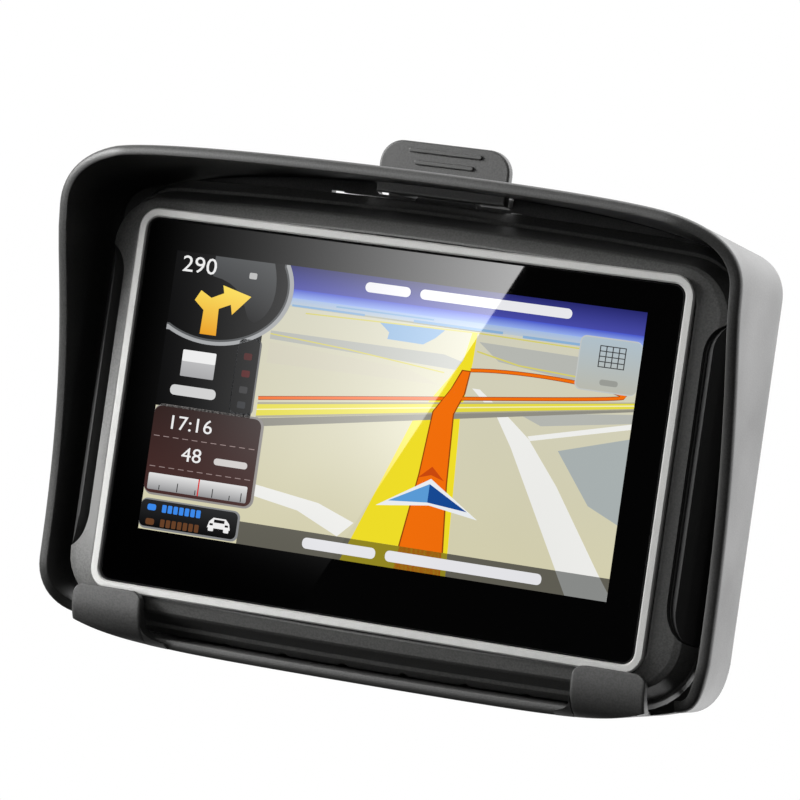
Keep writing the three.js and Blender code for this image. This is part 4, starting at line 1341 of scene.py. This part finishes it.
def make_lights(mirrors, sun_hood):
    """Soft light from the front and left, and from above. The mirrors show none of it."""
    for lamp in (
        softbox("key", (-0.42, -0.3, 0.17), (0, 0, 0), (0.3, 0.14), 5.3),
        softbox("front_fill", (-0.05, -0.95, 0.2), (0, 0, 0), (0.5, 0.3), 1.1),
        softbox("high_front", (-0.35, -0.72, 0.42), (0, 0, 0), (0.5, 0.25), 0.25),
        softbox("top", (0.1, 0.15, 1.0), (0, 0, 0), (0.7, 0.5), 5),
    ):
        keep_off(lamp, mirrors)
    low = softbox("low_key", (-0.35, -0.4, -0.12), (0, 0, 0), (0.25, 0.15), 1.3)
    keep_off(low, [*mirrors, sun_hood])


def make_reflection_card():
    """A card that the cover glass mirrors: its right-hand edge slants, and is brightest at the top."""
    d, power, fall_off = -0.7566, 10.5, 2.2
    edge_top, edge_low, dark_left = Vector((-0.2454, 0.064)), Vector((-0.3164, -0.0776)), -0.405
    across = Vector((0.3, 0))
    outline = [edge_low, edge_top, edge_top - across, edge_low - across]
    card = stage_face("reflection_card", [(x, GLASS_Y + d, z) for x, z in outline])
    card.visible_camera = False
    card.visible_shadow = False
    material = bpy.data.materials.new("reflection_card")
    nodes = Nodes(material)
    nodes.tree.nodes.clear()
    x, _, z = nodes.add("SeparateXYZ", {0: nodes.add("TexCoord").outputs["Object"]}).outputs
    share = nodes.math("DIVIDE", nodes.math("SUBTRACT", x, dark_left), edge_top.x - dark_left)
    up = nodes.mapped(z, edge_low.y, 0.0, 0.08, 1.0)
    level = nodes.math("MAXIMUM", nodes.math("MULTIPLY", share, up), 0.0)
    strength = nodes.math("MULTIPLY", nodes.math("POWER", level, fall_off), power)
    glow = nodes.add("Emission", {"Strength": strength})
    nodes.add("OutputMaterial", {"Surface": glow.outputs[0]})
    card.data.materials.append(material)


def make_camera():
    azimuth, roll, distance = math.radians(20.92), math.radians(8.15), 0.810
    target = Vector((0.001837, GLASS_Y, 0.00701))
    back = Vector((math.sin(azimuth), -math.cos(azimuth), 0))
    right = Vector((math.cos(azimuth), math.sin(azimuth), 0))
    up = Vector((0, 0, 1))
    tilted_right = right * math.cos(roll) + up * math.sin(roll)
    tilted_up = up * math.cos(roll) - right * math.sin(roll)
    data = bpy.data.cameras.new("camera")
    data.sensor_width = 36
    data.lens = 193.4
    data.clip_end = 20
    camera = placed("camera", data)
    turn = Matrix((tilted_right, tilted_up, back)).transposed().to_4x4()
    camera.matrix_world = Matrix.Translation(target + back * distance) @ turn
    bpy.context.scene.camera = camera


# ---- build ----
make_camera()
make_world()
make_floor()
make_reflection_card()

for node, piece in frame["nodes"].items():
    smooth(piece, 28)
    dress(piece, NODE_SLOT[node])

make_front_shell()
make_grips()
make_ring()
cover_glass = make_glass()
screen_picture = make_screen()
sun_hood = make_hood()
make_cradle()
make_latch()
make_latch_spring()
make_latch_pin()
make_inlet()
make_button()
make_port_cover()
make_contact_pins()
for k in range(1, 5):
    make_screw(f"visor_screw_{k}", f"hood_screw_{k}", 1.5, 1.15)
    make_screw(f"case_screw_{k}", f"shell_screw_{k}", 1.1, 0.9)
    make_insert(f"mount_insert_{k}")

make_lights([cover_glass, screen_picture], sun_hood)

bpy.context.scene.view_settings.view_transform = "Standard"
